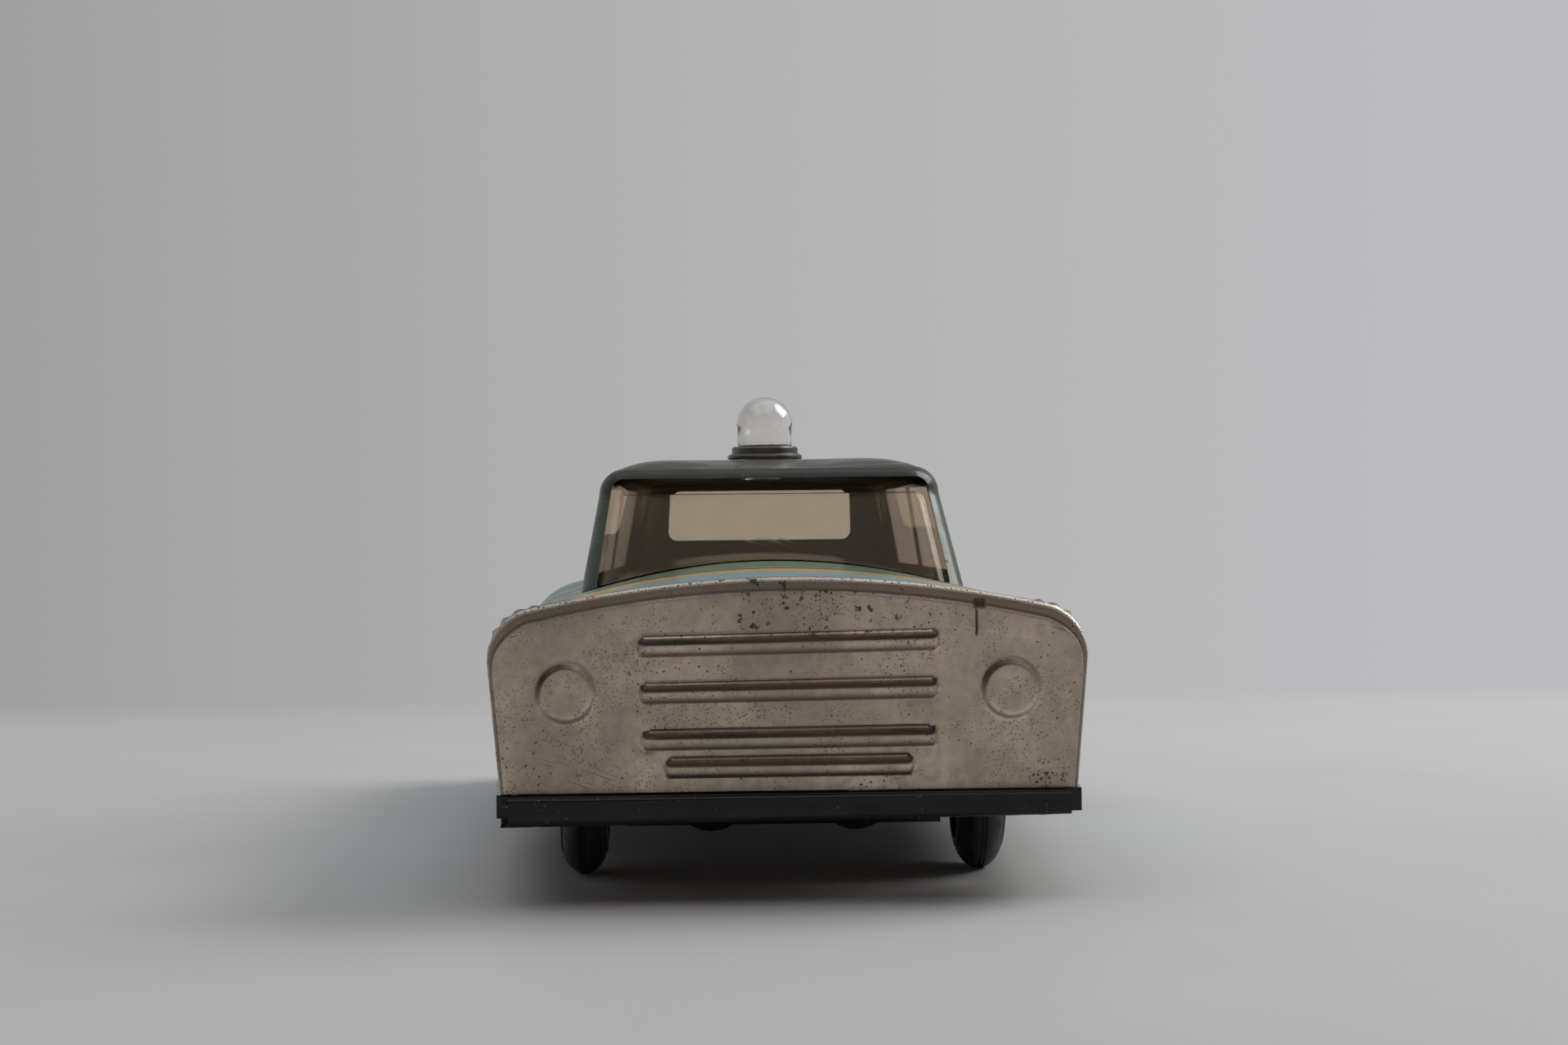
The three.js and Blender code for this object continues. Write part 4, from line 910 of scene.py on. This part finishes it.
def end_panel(name, facing, face_y, top, beads, dents, node):
    """A tinplate cap over one end of the body, with pressed beads and lamps and a crimped flange."""
    bm = bmesh.new()
    rib = bm.verts.layers.float.new("rib")
    rim = bm.verts.layers.float.new("rim")
    share = bm.verts.layers.float.new("share")
    bmesh.ops.create_grid(bm, x_segments=250, y_segments=86, size=1)
    (arch, turn, side), *_ = section_parts(face_y, END_HALF_WIDTH, top)
    split = (arch + turn * 0.5) / (arch + turn + side)
    for vert in bm.verts:
        across, up = vert.co.x, (vert.co.y + 1) / 2
        x, level = across * PLATE_X, lerp(FOOT, PLATE_TOP, up)
        lean = BEAD_TILT * (1 - smooth_step(abs(x), 17, 25))
        lean *= smooth_step(level, PLATE_TOP, PLATE_TOP - 0.5)
        z = level * (1 + lean * x * facing)
        rise, flank = bead_shape(x, level, beads)
        swell, shade = lamp_shape(x, z)
        calm = smooth_step(level, PLATE_TOP, PLATE_TOP - 2) * smooth_step(abs(x), PLATE_X, PLATE_X - 2)
        rise += swell + (dent_shape(x, z, dents) + dented(Vector((x, 0, z)), 0.12, 0.09)) * calm
        # rib carries the beads' flanks and the lamps' painted shade, which the tin's colour turns into
        # painted reflection and shade.
        vert[rib] = flank + shade
        vert[share] = across * split if up > 1 - 1e-5 else math.copysign(lerp(1, split, up), across)
        vert.co = Vector((x, face_y + facing * rise, z))
    open_edges = [e for e in bm.edges if e.is_boundary and any(v.co.z > FOOT + 1e-4 for v in e.verts)]

    def rim_point(vert, inset, depth, worn, crimp):
        s = vert[share]
        pleat = crimp * math.exp(-(((abs(s) - split + 0.03) / 0.075) ** 2))
        ripple = abs((s * 58) % 2 - 1) * (0.7 + 0.6 * noise.noise(Vector((s * 40, depth, 3))))
        wave = 0.05 * noise.noise(Vector((s * 14, facing, 0)))
        # rim places the rim's painted shade and highlight bands as well as its pits.
        vert[rim] = worn
        vert[rib] = 0
        narrow = lerp(1, 0.3, smooth_step(abs(s), split - 0.05, split + 0.12))
        x, z = section_point(face_y, END_HALF_WIDTH, top, s, inset * narrow - pleat * ripple)
        return Vector((x, face_y - facing * (depth + wave), z))

    # Rings from the face outwards: inset, depth, the rim value that places the painted shade and highlight
    # bands and the pits, and the crimp's pleat depth.
    rings = [
        (1.80, 0.0, 0.15, 0.0),
        (1.62, 0.01, 0.25, 0.0),
        (1.52, 0.06, 0.40, 0.0),
        (1.44, 0.16, 0.42, 0.0),
        (1.34, 0.23, 0.45, 0.0),
        (1.10, 0.26, 0.50, 0.0),
        (0.80, 0.29, 0.55, 0.0),
        (0.56, 0.32, 0.62, 0.0),
        (0.40, 0.35, 0.78, 0.0),
        (0.24, 0.42, 0.95, 0.03),
        (0.10, 0.55, 1.0, 0.04),
        (0.02, 0.80, 1.05, 0.09),
        (0.0, 1.2, 1.25, 0.18),
        (0.0, 1.7, 1.4, 0.36),
        (0.0, 2.2, 1.5, 0.46),
        (0.0, 2.7, 1.5, 0.52),
        (0.0, 3.1, 1.5, 0.55),
        (0.0, PANEL_DEPTH, 1.5, 0.55),
    ]
    chain = open_edges
    for inset, depth, worn, crimp in rings:
        chain = extend(bm, chain, lambda v: rim_point(v, inset, depth, worn, crimp))
    face_outwards(bm, (0, face_y - facing * 30, 9))
    settle(bm)
    piece = new_object(bm, name, [grille_tin], 50)
    give_wall(piece, PANEL_SHEET, even=False)
    freeze(piece, 50)
    return fit(piece, "body", "bare_tin", node)


def end_panels():
    long_bead = END_HALF_WIDTH / 2
    grille_beads = [
        (long_bead, 15.6),
        (long_bead - 0.15, 10.75),
        (long_bead - 0.3, 5.85),
        (long_bead - 2.7, 2.95),
    ]
    grille_dents = [(-14.6, 5.5, 0.8, -0.4)]
    end_panel("grille_pressing", -1, GRILLE_Y, GRILLE_TOP, grille_beads, grille_dents, "grille_panel")
    tail_beads = [(long_bead, 15.2), (long_bead - 3, 3.4)]
    tail_dents = [(9.0, 7.0, 4.0, -0.14)]
    end_panel("tail_pressing", 1, TAIL_Y, TAIL_TOP, tail_beads, tail_dents, "tail_panel")


# ---------------------------------------------------------------- cabin

WINDOW_TOP = ROOF_TOP - 2.2
SCREEN_TOP = WINDOW_TOP + 0.9
BAND_TOP = SCREEN_TOP + 0.4
CORNER_STEPS = 8
SIDE_STEPS = 22
WALL_LEVELS = 14
ROOF_STEPS = 14
ROOF_HOLE = 3.0
ROOF_DIP = 1.1
FRONT_STEPS = 20
REAR_STEPS = 14


def cabin_ring(z, inset, wall_z):
    """Points round the cabin, from the left rear corner over the tail, the right side and the screen."""
    up = (wall_z - BELT) / (ROOF_TOP - BELT)
    half = lerp(CABIN_HALF_WIDTH, ROOF_HALF_WIDTH, up) - inset
    front = COWL_Y + WINDSCREEN_RUN * up + inset
    back = REAR_DECK_Y - REAR_WINDOW_RUN * up - inset
    front_radius, back_radius = FRONT_CORNER - inset, REAR_CORNER - inset
    back_x = half - CABIN_TAPER - back_radius

    corners = [
        (back_x, back - back_radius, back_radius, 0, REAR_STEPS),
        (-back_x, back - back_radius, back_radius, 90, SIDE_STEPS),
        (-half + front_radius, front + front_radius, front_radius, 180, FRONT_STEPS),
        (half - front_radius, front + front_radius, front_radius, 270, SIDE_STEPS),
    ]
    arcs = [
        [
            Vector((x + r * math.cos(a), y + r * math.sin(a), z))
            for a in (math.radians(start + 90 * i / CORNER_STEPS) for i in range(CORNER_STEPS + 1))
        ]
        for x, y, r, start, _ in corners
    ]
    points = []
    for index, arc in enumerate(arcs):
        following = arcs[(index + 1) % len(arcs)][0]
        gaps = corners[index][4]
        points += arc
        points += [arc[-1].lerp(following, i / gaps) for i in range(1, gaps)]
    return points


def cabin_wall(inset, gap):
    """An open sheet from just above the deck to where the roof's edge begins, with its top edges."""
    bm = bmesh.new()
    feet = cabin_ring(0, inset, BELT)
    bmesh.ops.create_circle(bm, cap_ends=False, segments=len(feet), radius=1)
    number = bm.verts.layers.int.new("number")
    for index, vert in enumerate(bm.verts):
        vert[number] = index
    for _ in range(3):
        feet = [cabin_ring(z, inset, z)[i] for i, z in enumerate(deck_z(p.x, p.y) + gap for p in feet)]
    for vert in bm.verts:
        vert.co = feet[vert[number]]
    chain = bm.edges[:]
    for level in range(1, WALL_LEVELS + 1):
        heights = [lerp(point.z, WALL_EDGE, level / WALL_LEVELS) for point in feet]
        ring = [cabin_ring(z, inset, z)[i] for i, z in enumerate(heights)]
        chain = extend(bm, chain, lambda v: ring[v[number]])
    return bm, chain, number


def add_edge(bm, chain, number, inset, angles):
    """Turns the wall's top over the roof's rounded edge, as far as the last of the angles in degrees."""
    radius = ROOF_EDGE - inset
    for angle in angles:
        a = math.radians(angle)
        ring = cabin_ring(WALL_EDGE + radius * math.sin(a), ROOF_EDGE - radius * math.cos(a), WALL_EDGE)
        chain = extend(bm, chain, lambda v: ring[v[number]])
    return chain, ring


def add_roof(bm, chain, number, edge):
    """Closes the roof from its edge ring to the round hole under the beacon."""
    centre = Vector((0, BEACON.y))
    for step in range(1, ROOF_STEPS + 1):
        share = step / ROOF_STEPS
        ring = []
        for point in edge:
            flat = point.to_2d()
            spot = flat.lerp(centre + (flat - centre).normalized() * ROOF_HOLE, share)
            rise = ROOF_CROWN * (1 - min(1.0, share / 0.35)) ** 2
            ahead = (spot.y - COWL_Y - WINDSCREEN_RUN - 3) / 6
            dip = ROOF_DIP * math.exp(-((spot.x / 9) ** 2) - ahead**2)
            ring.append(Vector((spot.x, spot.y, ROOF_FLAT - rise - dip)))
        chain = extend(bm, chain, lambda v: ring[v[number]])


def window_tools():
    """Blocks that cut the screen, the rear window and the two pairs of side windows."""
    up = (WINDOW_TOP - BELT) / (ROOF_TOP - BELT)
    middle = (COWL_Y + REAR_DECK_Y) / 2
    door_post = middle - 1
    foot_half, top_half = CABIN_HALF_WIDTH - SCREEN_PILLAR, ROOF_HALF_WIDTH - SCREEN_PILLAR
    screen = [
        (-foot_half, BELT - 3.6),
        (foot_half, BELT - 3.6),
        (top_half, SCREEN_TOP),
        (-top_half, SCREEN_TOP),
    ]
    rear = [(-12.8, BELT + 1.8), (12.8, BELT + 1.8), (12.4, WINDOW_TOP), (-12.4, WINDOW_TOP)]
    front_y = COWL_Y + FRONT_CORNER + PILLAR
    back_y = REAR_DECK_Y - REAR_CORNER - PILLAR
    sill = BELT - 1.4
    door = [
        (front_y, sill),
        (door_post - PILLAR / 2, sill),
        (door_post - PILLAR / 2, WINDOW_TOP),
        (front_y + up * WINDSCREEN_RUN, WINDOW_TOP),
    ]
    quarter = [
        (door_post + PILLAR / 2, sill),
        (back_y, sill),
        (back_y - up * REAR_WINDOW_RUN / 2, WINDOW_TOP),
        (door_post + PILLAR / 2, WINDOW_TOP),
    ]
    return [
        prism(screen, "Y", COWL_Y - 10, middle - 8, 1.3),
        prism(rear, "Y", middle + 8, REAR_DECK_Y + 10, 1.3),
        prism(door, "X", -50, 50, 1.0),
        prism(quarter, "X", -50, 50, 1.0),
    ]


def cabin():
    bm, chain, number = cabin_wall(0, 0.12)
    chain, edge = add_edge(bm, chain, number, 0, range(10, 81, 10))
    add_roof(bm, chain, number, edge)
    face_outwards(bm, (0, BEACON.y, 20))
    for vert in bm.verts:
        if vert.co.z > ROOF_TOP:
            vert.co.z += dented(vert.co, 0.08, 0.12)
    settle(bm)
    piece = new_object(bm, "cabin_pressing", [cabin_print, inner_shaded_lacquer])
    give_wall(piece, SHEET * 0.8, 1)
    cut_away(piece, window_tools())
    fit(piece, "body", "litho_cabin", "cabin_shell")


def glazing():
    inset = SHEET + TRIM
    bm, chain, number = cabin_wall(inset, 0.15)
    last = math.degrees(math.asin((BAND_TOP - WALL_EDGE) / (ROOF_EDGE - inset)))
    add_edge(bm, chain, number, inset, [last * i / 5 for i in range(1, 6)])
    face_outwards(bm, (0, BEACON.y, 20))
    settle(bm)
    piece = new_object(bm, "window_moulding", [window_plastic])
    give_wall(piece, 0.5)
    freeze(piece)
    fit(piece, "body", "tinted_plastic", "glazing_band")


def beacon():
    low = low_corner("beacon_dome")
    high = high_corner("beacon_dome")
    radius, height, wall = high.x, high.z - low.z, 0.55
    straight = height - radius
    arc = [math.radians(90 * i / 12) for i in range(13)]
    outer = [(radius * math.cos(a), straight + radius * math.sin(a)) for a in arc]
    inner = [((radius - wall) * math.cos(a), straight + (radius - wall) * math.sin(a)) for a in arc]
    foot = [(radius - wall, 0.0), (radius, 0.0), (radius, 0.5)]
    neck = [(radius - 0.12, 0.7), (radius - 0.12, straight - 0.3)]
    profile = foot + neck + outer + inner[::-1]
    dome = moved(turned(profile, 72, "Z"), 0, BEACON.y, low.z)
    settle(dome)
    fit(new_object(dome, "beacon_lens", [dome_plastic]), "body", "clear_plastic", "beacon_dome")

    rise = high_corner("beacon_collar").z - low.z
    outside = high_corner("beacon_collar").x
    bore = radius + 0.1
    profile = [
        (bore, 0.0),
        (outside - 0.1, 0.0),
        (outside, 0.12),
        (outside, 0.4),
        (outside - 0.25, 0.62),
        (outside - 0.55, 0.75),
        (bore + 0.55, rise - 0.2),
        (bore + 0.35, rise),
        (bore + 0.1, rise),
        (bore, rise - 0.12),
    ]
    collar = moved(turned(profile, 72, "Z"), 0, BEACON.y, low.z)
    settle(collar)
    fit(new_object(collar, "beacon_ring", [collar_tin]), "body", "black_tin", "beacon_collar")


# ---------------------------------------------------------------- bumpers


def bumper_line(half_height, half_depth, thickness):
    """A rolled strip's section, (y, z) with the front at -y: once round, then tucked in behind itself."""
    h, d = half_height - thickness / 2, half_depth - thickness / 2
    r = 0.72
    seam = h * 0.42
    tuck = thickness * 1.02
    points = [(-d, seam), (-d, seam - 0.35), (-d, 0)]
    corners = ((-d + r, -h + r, 180), (d - r, -h + r, 270), (d - r, h - r, 0), (-d + r, h - r, 90))
    for cy, cz, start in corners:
        for i in range(7):
            a = math.radians(start + 90 * i / 6)
            points.append((cy + r * math.cos(a), cz + r * math.sin(a)))
    points += [(-d, seam + 0.16), (-d + tuck * 0.5, seam + 0.05)]
    return points + [(-d + tuck, seam - 0.1), (-d + tuck, seam - 0.6)]


def bumper(name, facing, node, slope):
    low, high = low_corner(node), high_corner(node)
    half_length = (high.x - low.x) / 2
    height, depth, thickness = 3.1, 2.2, 0.3
    middle_z = FOOT - 0.06 - height / 2
    middle_y = (TAIL_Y - GRILLE_Y) / 2 + depth / 2
    line = bumper_line(height / 2, depth / 2, thickness)
    bm = bmesh.new()
    first = [bm.verts.new((-half_length, y, z)) for y, z in line]
    chain = [bm.edges.new(pair) for pair in zip(first, first[1:])]
    steps = 80
    for step in range(1, steps + 1):
        x = lerp(-half_length, half_length - 0.8, step / steps)
        chain = extend(bm, chain, lambda v: Vector((x, v.co.y, v.co.z)))
    for vert in bm.verts:
        along = vert.co.x / half_length
        chip = 0.0
        if vert.co.z < -height / 2 + 0.5:
            chip = 0.06 * noise.noise(Vector((vert.co.x * 0.9, 0, facing)))
        hang = 0.5 - vert.co.z / height
        open_end = smooth_step(vert.co.x, 1.2 - half_length, -half_length)
        front = smooth_step(-vert.co.y, 0.2 * depth, 0.5 * depth - thickness)
        vert.co.x += 0.8 * open_end * front
        vert.co.z += slope * along * hang + chip
        vert.co.y += 0.10 * along**2
    face_outwards(bm)
    if facing > 0:
        bmesh.ops.rotate(bm, cent=(0, 0, 0), matrix=Matrix.Rotation(math.pi, 3, "Z"), verts=bm.verts)
    moved(bm, 0, facing * middle_y, middle_z)
    settle(bm)
    piece = new_object(bm, name, [bumper_enamel], 40)
    give_wall(piece, thickness, even=False)
    freeze(piece, 40)
    tabs = []
    for side in (-1, 1):
        x = side * (half_length - 12)
        near = facing * (middle_y - depth / 2 + 0.15)
        far = near - facing * 2.1
        tab = block(x - 1.5, x + 1.5, min(near, far), max(near, far), middle_z, middle_z + 0.3)
        bmesh.ops.bevel(
            tab, geom=tab.edges[:], offset=0.08, segments=2, profile=0.5, affect="EDGES", material=-1
        )
        tabs.append(tab)
    add_parts(piece, tabs)
    fit(piece, "body", "black_tin", node)


# ---------------------------------------------------------------- wheels


def tyre_shape(width, radius, bore):
    """A rounded tyre with a ring pressed in each wall and two fine grooves in its tread."""
    bulge, flat, half, groove = 4.2, 12, width / 2, 0.14
    wall = [(75, 0), (70, 0), (64, 0), (62, groove), (57, groove), (55, 0)]
    wall += [(a, 0) for a in (48, 41, 34, 27, 20, flat)]
    profile = [(bore, half * 0.93), (bore + 0.12, half * 0.96)]
    for angle, sunk in wall:
        a = math.radians(angle)
        drop = bulge * (math.cos(math.radians(flat)) - math.cos(a))
        profile.append((radius - drop - sunk * math.cos(a), (half - sunk) * math.sin(a)))
    profile += [
        (radius, half * 0.13),
        (radius - groove, half * 0.10),
        (radius - groove, half * 0.05),
        (radius, half * 0.02),
    ]
    return mirrored(profile)


def hub_shape(rim, bore):
    """A dished disc with a pressed ring, a raised boss round the axle and a turned-out rim."""
    return [
        (bore, -1.0),
        (bore + 0.9, -1.0),
        (bore + 0.95, 0.1),
        (bore + 1.9, 0.35),
        (rim - 1.5, 0.55),
        (rim - 0.85, 0.4),
        (rim - 0.38, -1.9),
        (rim, -2.0),
        (rim, 2.0),
        (rim - 0.25, 2.12),
        (rim - 0.62, 2.0),
        (rim - 0.85, 1.0),
        (rim - 1.4, 0.95),
        (rim - 1.9, 1.12),
        (rim - 2.4, 0.86),
        (bore + 1.6, 0.78),
        (bore + 1.1, 1.2),
        (bore + 0.7, 1.36),
        (bore, 1.36),
    ]


def wheel_set(end, body, axle):
    """Tyres and hubs pressed on one axle."""
    low, high = low_corner(f"{end}_left_tyre"), high_corner(f"{end}_left_tyre")
    middle_x = (low.x + high.x) / 2
    width, radius = 5.6, (high.z - low.z) / 2
    hub_radius, axle_radius = 5.6, 1.0
    for hand, side in (("left", 1), ("right", -1)):
        tyre = turned(tyre_shape(width, radius, hub_radius), 96)
        hub = turned(hub_shape(hub_radius - SEAT, axle_radius + 0.05), 96)
        if side < 0:
            bmesh.ops.rotate(hub, cent=(0, 0, 0), matrix=Matrix.Rotation(math.pi, 3, "Z"), verts=hub.verts)
        for part, kind, finish, slot in (
            (tyre, "tyre", tyre_rubber, "black_rubber"),
            (hub, "hub", hub_tin, "bare_tin"),
        ):
            moved(part, side * middle_x, axle.y, axle.z)
            settle(part)
            piece = new_object(part, f"{end}_{hand}_{kind}_turned", [finish], 45)
            fit(piece, body, slot, f"{end}_{hand}_{kind}")
    reach = high_corner(f"{end}_axle").x
    half = [(0, -reach), (0.55, -reach), (0.88, -reach + 0.22), (1.0, -reach + 0.5)]
    bar = turned(mirrored(half), 48, closed=False)
    moved(bar, 0, axle.y, axle.z)
    settle(bar)
    fit(new_object(bar, f"{end}_axle_bar", [steel]), body, "steel", f"{end}_axle")


# ---------------------------------------------------------------- key and arbors


def winding_key():
    low, high = low_corner("winding_key"), high_corner("winding_key")
    span, thickness = high.y - low.y, 1.2
    bore, face, arbor_end = 1.5, low.x, high_corner("winding_arbor").x
    near, far, tip = arbor_end - 1.6, high.x - 0.5, span / 2
    waist, middle = 2.2, (near + far) / 2
    lobe_y, lobe = tip * 0.56, (far - near) / 2 - 0.1
    bm = bmesh.new()
    outline = []
    for side, start in ((1, -10), (-1, 190)):
        for i in range(15):
            a = math.radians(start + side * 200 * i / 14)
            outline.append((middle + lobe * math.cos(a), side * (lobe_y + (tip - lobe_y) * math.sin(a))))
        outline.append((middle - side * waist, 0))
    ring = [bm.verts.new((x, y, -thickness / 2)) for x, y in outline]
    bm.faces.new(ring)
    push_out(bm, (0, 0, thickness))
    socket = [
        (bore + 0.05, face),
        (bore + 0.6, face),
        (bore + 0.8, face + 0.2),
        (bore + 0.8, arbor_end + 0.2),
        (bore + 0.5, arbor_end + 0.5),
        (0, arbor_end + 0.5),
        (0, arbor_end + 0.05),
        (bore + 0.05, arbor_end + 0.05),
    ]
    settle(moved(bm, 0, WINDING.y, WINDING.z))
    piece = new_object(bm, "key_grip", [steel])
    eyes = []
    for side in (-1, 1):
        eye = turned([(0, -3), (1.5, -3), (1.5, 3), (0, 3)], 40, "Z", closed=False)
        eyes.append(moved(eye, middle, WINDING.y + side * lobe_y, WINDING.z))
    eyes.append(moved(drum(bore + 0.06, face - 1, arbor_end + 0.04, 48), 0, WINDING.y, WINDING.z))
    cut_away(piece, eyes)
    ease_edges(piece, 0.22, 3)
    freeze(piece)
    add_parts(piece, [moved(turned(socket, 48), 0, WINDING.y, WINDING.z)])
    piece.data.shade_smooth()
    piece.data.set_sharp_from_angle(angle=math.radians(35))
    fit(piece, "winding", "steel", "winding_key")


def plain_arbors():
    """The arbors and pillars, each a round bar from its node's own length."""
    bars = [
        ("winding_arbor", "winding", 1.5, WINDING),
        ("middle_arbor", "middle", 0.9, joint_place("middle_arbor_turn")),
    ]
    for node, body, radius, axis in bars:
        bar = moved(drum(radius, low_corner(node).x, high_corner(node).x, 48), 0, axis.y, axis.z)
        settle(bar)
        fit(new_object(bar, node + "_bar", [steel]), body, "steel", node)
    for end in ("front", "top", "rear"):
        node = f"motor_{end}_pillar"
        middle = (low_corner(node) + high_corner(node)) / 2
        reach, shoulder = high_corner(node).x, 9.45
        half = [(0, -reach), (0.75, -reach), (0.95, -reach + 0.28)]
        half += [(0.8, -shoulder - 0.62), (0.8, -shoulder), (1.2, -shoulder)]
        bar = moved(turned(mirrored(half), 40, closed=False), 0, middle.y, middle.z)
        settle(bar)
        fit(new_object(bar, node + "_bar", [steel]), "body", "steel", node)


# ---------------------------------------------------------------- parts that keep their CAD outline


def eased_copy(node, body, slot, finish, width, crease=30):
    """The CAD node's own shape, merged into whole faces, with its sharp edges broken."""
    bm = bmesh.new()
    bm.from_mesh(frame["nodes"][node].data)
    bmesh.ops.remove_doubles(bm, verts=bm.verts, dist=0.004 * MM)
    bmesh.ops.dissolve_limit(bm, angle_limit=math.radians(1), verts=bm.verts, edges=bm.edges)
    piece = new_object(bm, node + "_finished", [finish], crease)
    ease_edges(piece, width, 2, 30)
    freeze(piece, crease)
    fit(piece, body, slot, node)


def cad_outline_parts():
    parts = [
        ("chassis_plate", "body", "black_tin", chassis_enamel, 0.10),
        ("steering_bracket", "steering", "black_tin", chassis_enamel, 0.10),
        ("steering_rivet", "body", "steel", steel, 0.12),
        ("motor_left_plate", "body", "steel", steel, 0.10),
        ("motor_right_plate", "body", "steel", steel, 0.10),
        ("mainspring", "body", "spring_steel", blued_steel, 0.06),
        ("great_wheel", "great_wheel", "brass", brass, 0.06),
        ("click_spring", "great_wheel", "spring_steel", blued_steel, 0.05),
        ("click", "click", "steel", steel, 0.06),
        ("ratchet_wheel", "winding", "steel", steel, 0.06),
        ("middle_gear", "middle", "brass", brass, 0.06),
        ("middle_pinion", "middle", "brass", brass, 0.05),
        ("axle_pinion", "rear_wheels", "brass", brass, 0.05),
        ("stop_lever", "stop_lever", "black_tin", chassis_enamel, 0.08),
        ("lever_rivet", "body", "steel", steel, 0.08),
    ]
    for node, body, slot, finish, width in parts:
        eased_copy(node, body, slot, finish, width)


# ---------------------------------------------------------------- the car

body_shell()
end_panels()
cabin()
glazing()
beacon()
bumper("front_bumper_rolled", -1, "front_bumper", 0.34)
bumper("rear_bumper_rolled", 1, "rear_bumper", -0.10)
wheel_set("front", "front_wheels", FRONT_AXLE)
wheel_set("rear", "rear_wheels", REAR_AXLE)
winding_key()
plain_arbors()
cad_outline_parts()


# ---------------------------------------------------------------- floor, light and camera


def table_top():
    """A pale satin floor whose far edge softens away behind the car, and which hides nothing from below."""
    f = Finish("pale_table", IOR=1.45, Specular_IOR_Level=0.15)
    _, y, _ = f.axes()
    clouds = f.fade(f.grain(0.012, 3.0), 0.3, 0.7)
    f.set("Base Color", f.blend(clouds, (0.612, 0.612, 0.612), (0.578, 0.578, 0.578)))
    f.set("Roughness", 0.50 + clouds * 0.1)
    f.relief(f.grain(0.8, 4.0), 0.01)
    clear = f.node("BsdfTransparent", {}, {})
    mix = f.tree.nodes.new("ShaderNodeMixShader")
    output = f.tree.nodes["Material Output"]
    underneath = f.node("NewGeometry", {}, {}, "Backfacing")
    f.fill(mix.inputs[0], f.fade(y, 196.0, 262.0) | underneath)
    f.tree.links.new(f.shader.outputs[0], mix.inputs[1])
    f.fill(mix.inputs[2], clear)
    f.tree.links.new(mix.outputs[0], output.inputs["Surface"])
    bm = bmesh.new()
    bmesh.ops.create_grid(bm, x_segments=2, y_segments=2, size=2.6)
    bmesh.ops.translate(bm, vec=(0, 0, FLOOR_Z), verts=bm.verts)
    new_object(bm, "table_top", [f.material])


def room():
    """A soft grey wall where it is seen directly; a dim warm room with a dark ceiling in reflections."""
    world = bpy.data.worlds.new("room")
    world.use_nodes = True
    bpy.context.scene.world = world
    tree = world.node_tree
    nodes, links = tree.nodes, tree.links
    background = nodes["Background"]

    def ramp(value, stops):
        node = nodes.new("ShaderNodeValToRGB")
        for index, (place, colour) in enumerate(stops):
            elements = node.color_ramp.elements
            stop = elements[index] if index < 2 else elements.new(place)
            stop.position = place
            stop.color = (*colour, 1)
        links.new(value, node.inputs[0])
        return node.outputs[0]

    def stretch(value, low, high):
        node = nodes.new("ShaderNodeMapRange")
        node.inputs["From Min"].default_value = low
        node.inputs["From Max"].default_value = high
        links.new(value, node.inputs["Value"])
        return node.outputs[0]

    def mix(factor, first, second):
        node = nodes.new("ShaderNodeMix")
        node.data_type = "RGBA"
        for socket, value in ((0, factor), (6, first), (7, second)):
            links.new(value, node.inputs[socket])
        return node.outputs[2]

    where = nodes.new("ShaderNodeTexCoord").outputs["Generated"]
    split = nodes.new("ShaderNodeSeparateXYZ")
    links.new(where, split.inputs[0])
    across, ahead, up = split.outputs
    # The wall seen directly is painted darker on the left and lighter on the right: painted light from the
    # window on the right.
    wall = ramp(
        stretch(across, -0.26, 0.26),
        [(0.0, (0.335, 0.332, 0.330)), (1.0, (0.50, 0.50, 0.515)), (0.52, (0.45, 0.447, 0.45))],
    )
    front = ramp(
        stretch(up, -1, 1),
        [
            (0.0, (0.22, 0.19, 0.165)),
            (1.0, (0.05, 0.045, 0.045)),
            (0.46, (0.34, 0.295, 0.25)),
            (0.53, (0.31, 0.27, 0.23)),
            (0.66, (0.09, 0.075, 0.065)),
        ],
    )
    back = ramp(
        stretch(up, -1, 1),
        [(0.0, (0.30, 0.30, 0.30)), (1.0, (0.32, 0.33, 0.34)), (0.5, (0.42, 0.42, 0.43))],
    )
    around = mix(stretch(ahead, -0.35, 0.35), front, back)
    path = nodes.new("ShaderNodeLightPath")
    seen = nodes.new("ShaderNodeMath")
    seen.operation = "MAXIMUM"
    links.new(path.outputs["Is Camera Ray"], seen.inputs[0])
    links.new(path.outputs["Is Transmission Ray"], seen.inputs[1])
    links.new(mix(seen.outputs[0], around, wall), background.inputs["Color"])
    background.inputs["Strength"].default_value = 1.0


def soft_light(name, place, aim, size, power, colour):
    data = bpy.data.lights.new(name, "AREA")
    data.shape = "RECTANGLE"
    data.size, data.size_y = size
    data.energy = power
    data.color = colour
    lamp = bpy.data.objects.new(name, data)
    lamp.location = place
    lamp.rotation_mode = "QUATERNION"
    lamp.rotation_quaternion = (Vector(aim) - Vector(place)).to_track_quat("-Z", "Y")
    bpy.context.scene.collection.objects.link(lamp)


def camera():
    data = bpy.data.cameras.new("camera")
    data.lens = 67.1
    data.sensor_width = 36
    data.dof.use_dof = False
    viewer = bpy.data.objects.new("camera", data)
    turn, tilt, roll = math.radians(2), math.radians(0.32), math.radians(-0.6)
    look = Vector((math.sin(turn) * math.cos(tilt), math.cos(turn) * math.cos(tilt), -math.sin(tilt)))
    viewer.rotation_mode = "QUATERNION"
    aim = look.to_track_quat("-Z", "Y")
    viewer.rotation_quaternion = aim @ Matrix.Rotation(roll, 3, "Z").to_quaternion()
    viewer.location = (-10.8 * MM, -371.8 * MM, 30.1 * MM)
    bpy.context.scene.collection.objects.link(viewer)
    bpy.context.scene.camera = viewer


table_top()
room()
soft_light("window_light", (0.60, 0.25, 0.55), (0, -0.05, 0.01), (0.55, 0.45), 4.4, (1.0, 0.99, 0.97))
soft_light("ceiling_fill", (-0.1, -0.1, 0.9), (0, -0.1, 0), (1.2, 1.2), 3.0, (0.95, 0.98, 1.0))
camera()
bpy.context.scene.view_settings.view_transform = "Standard"
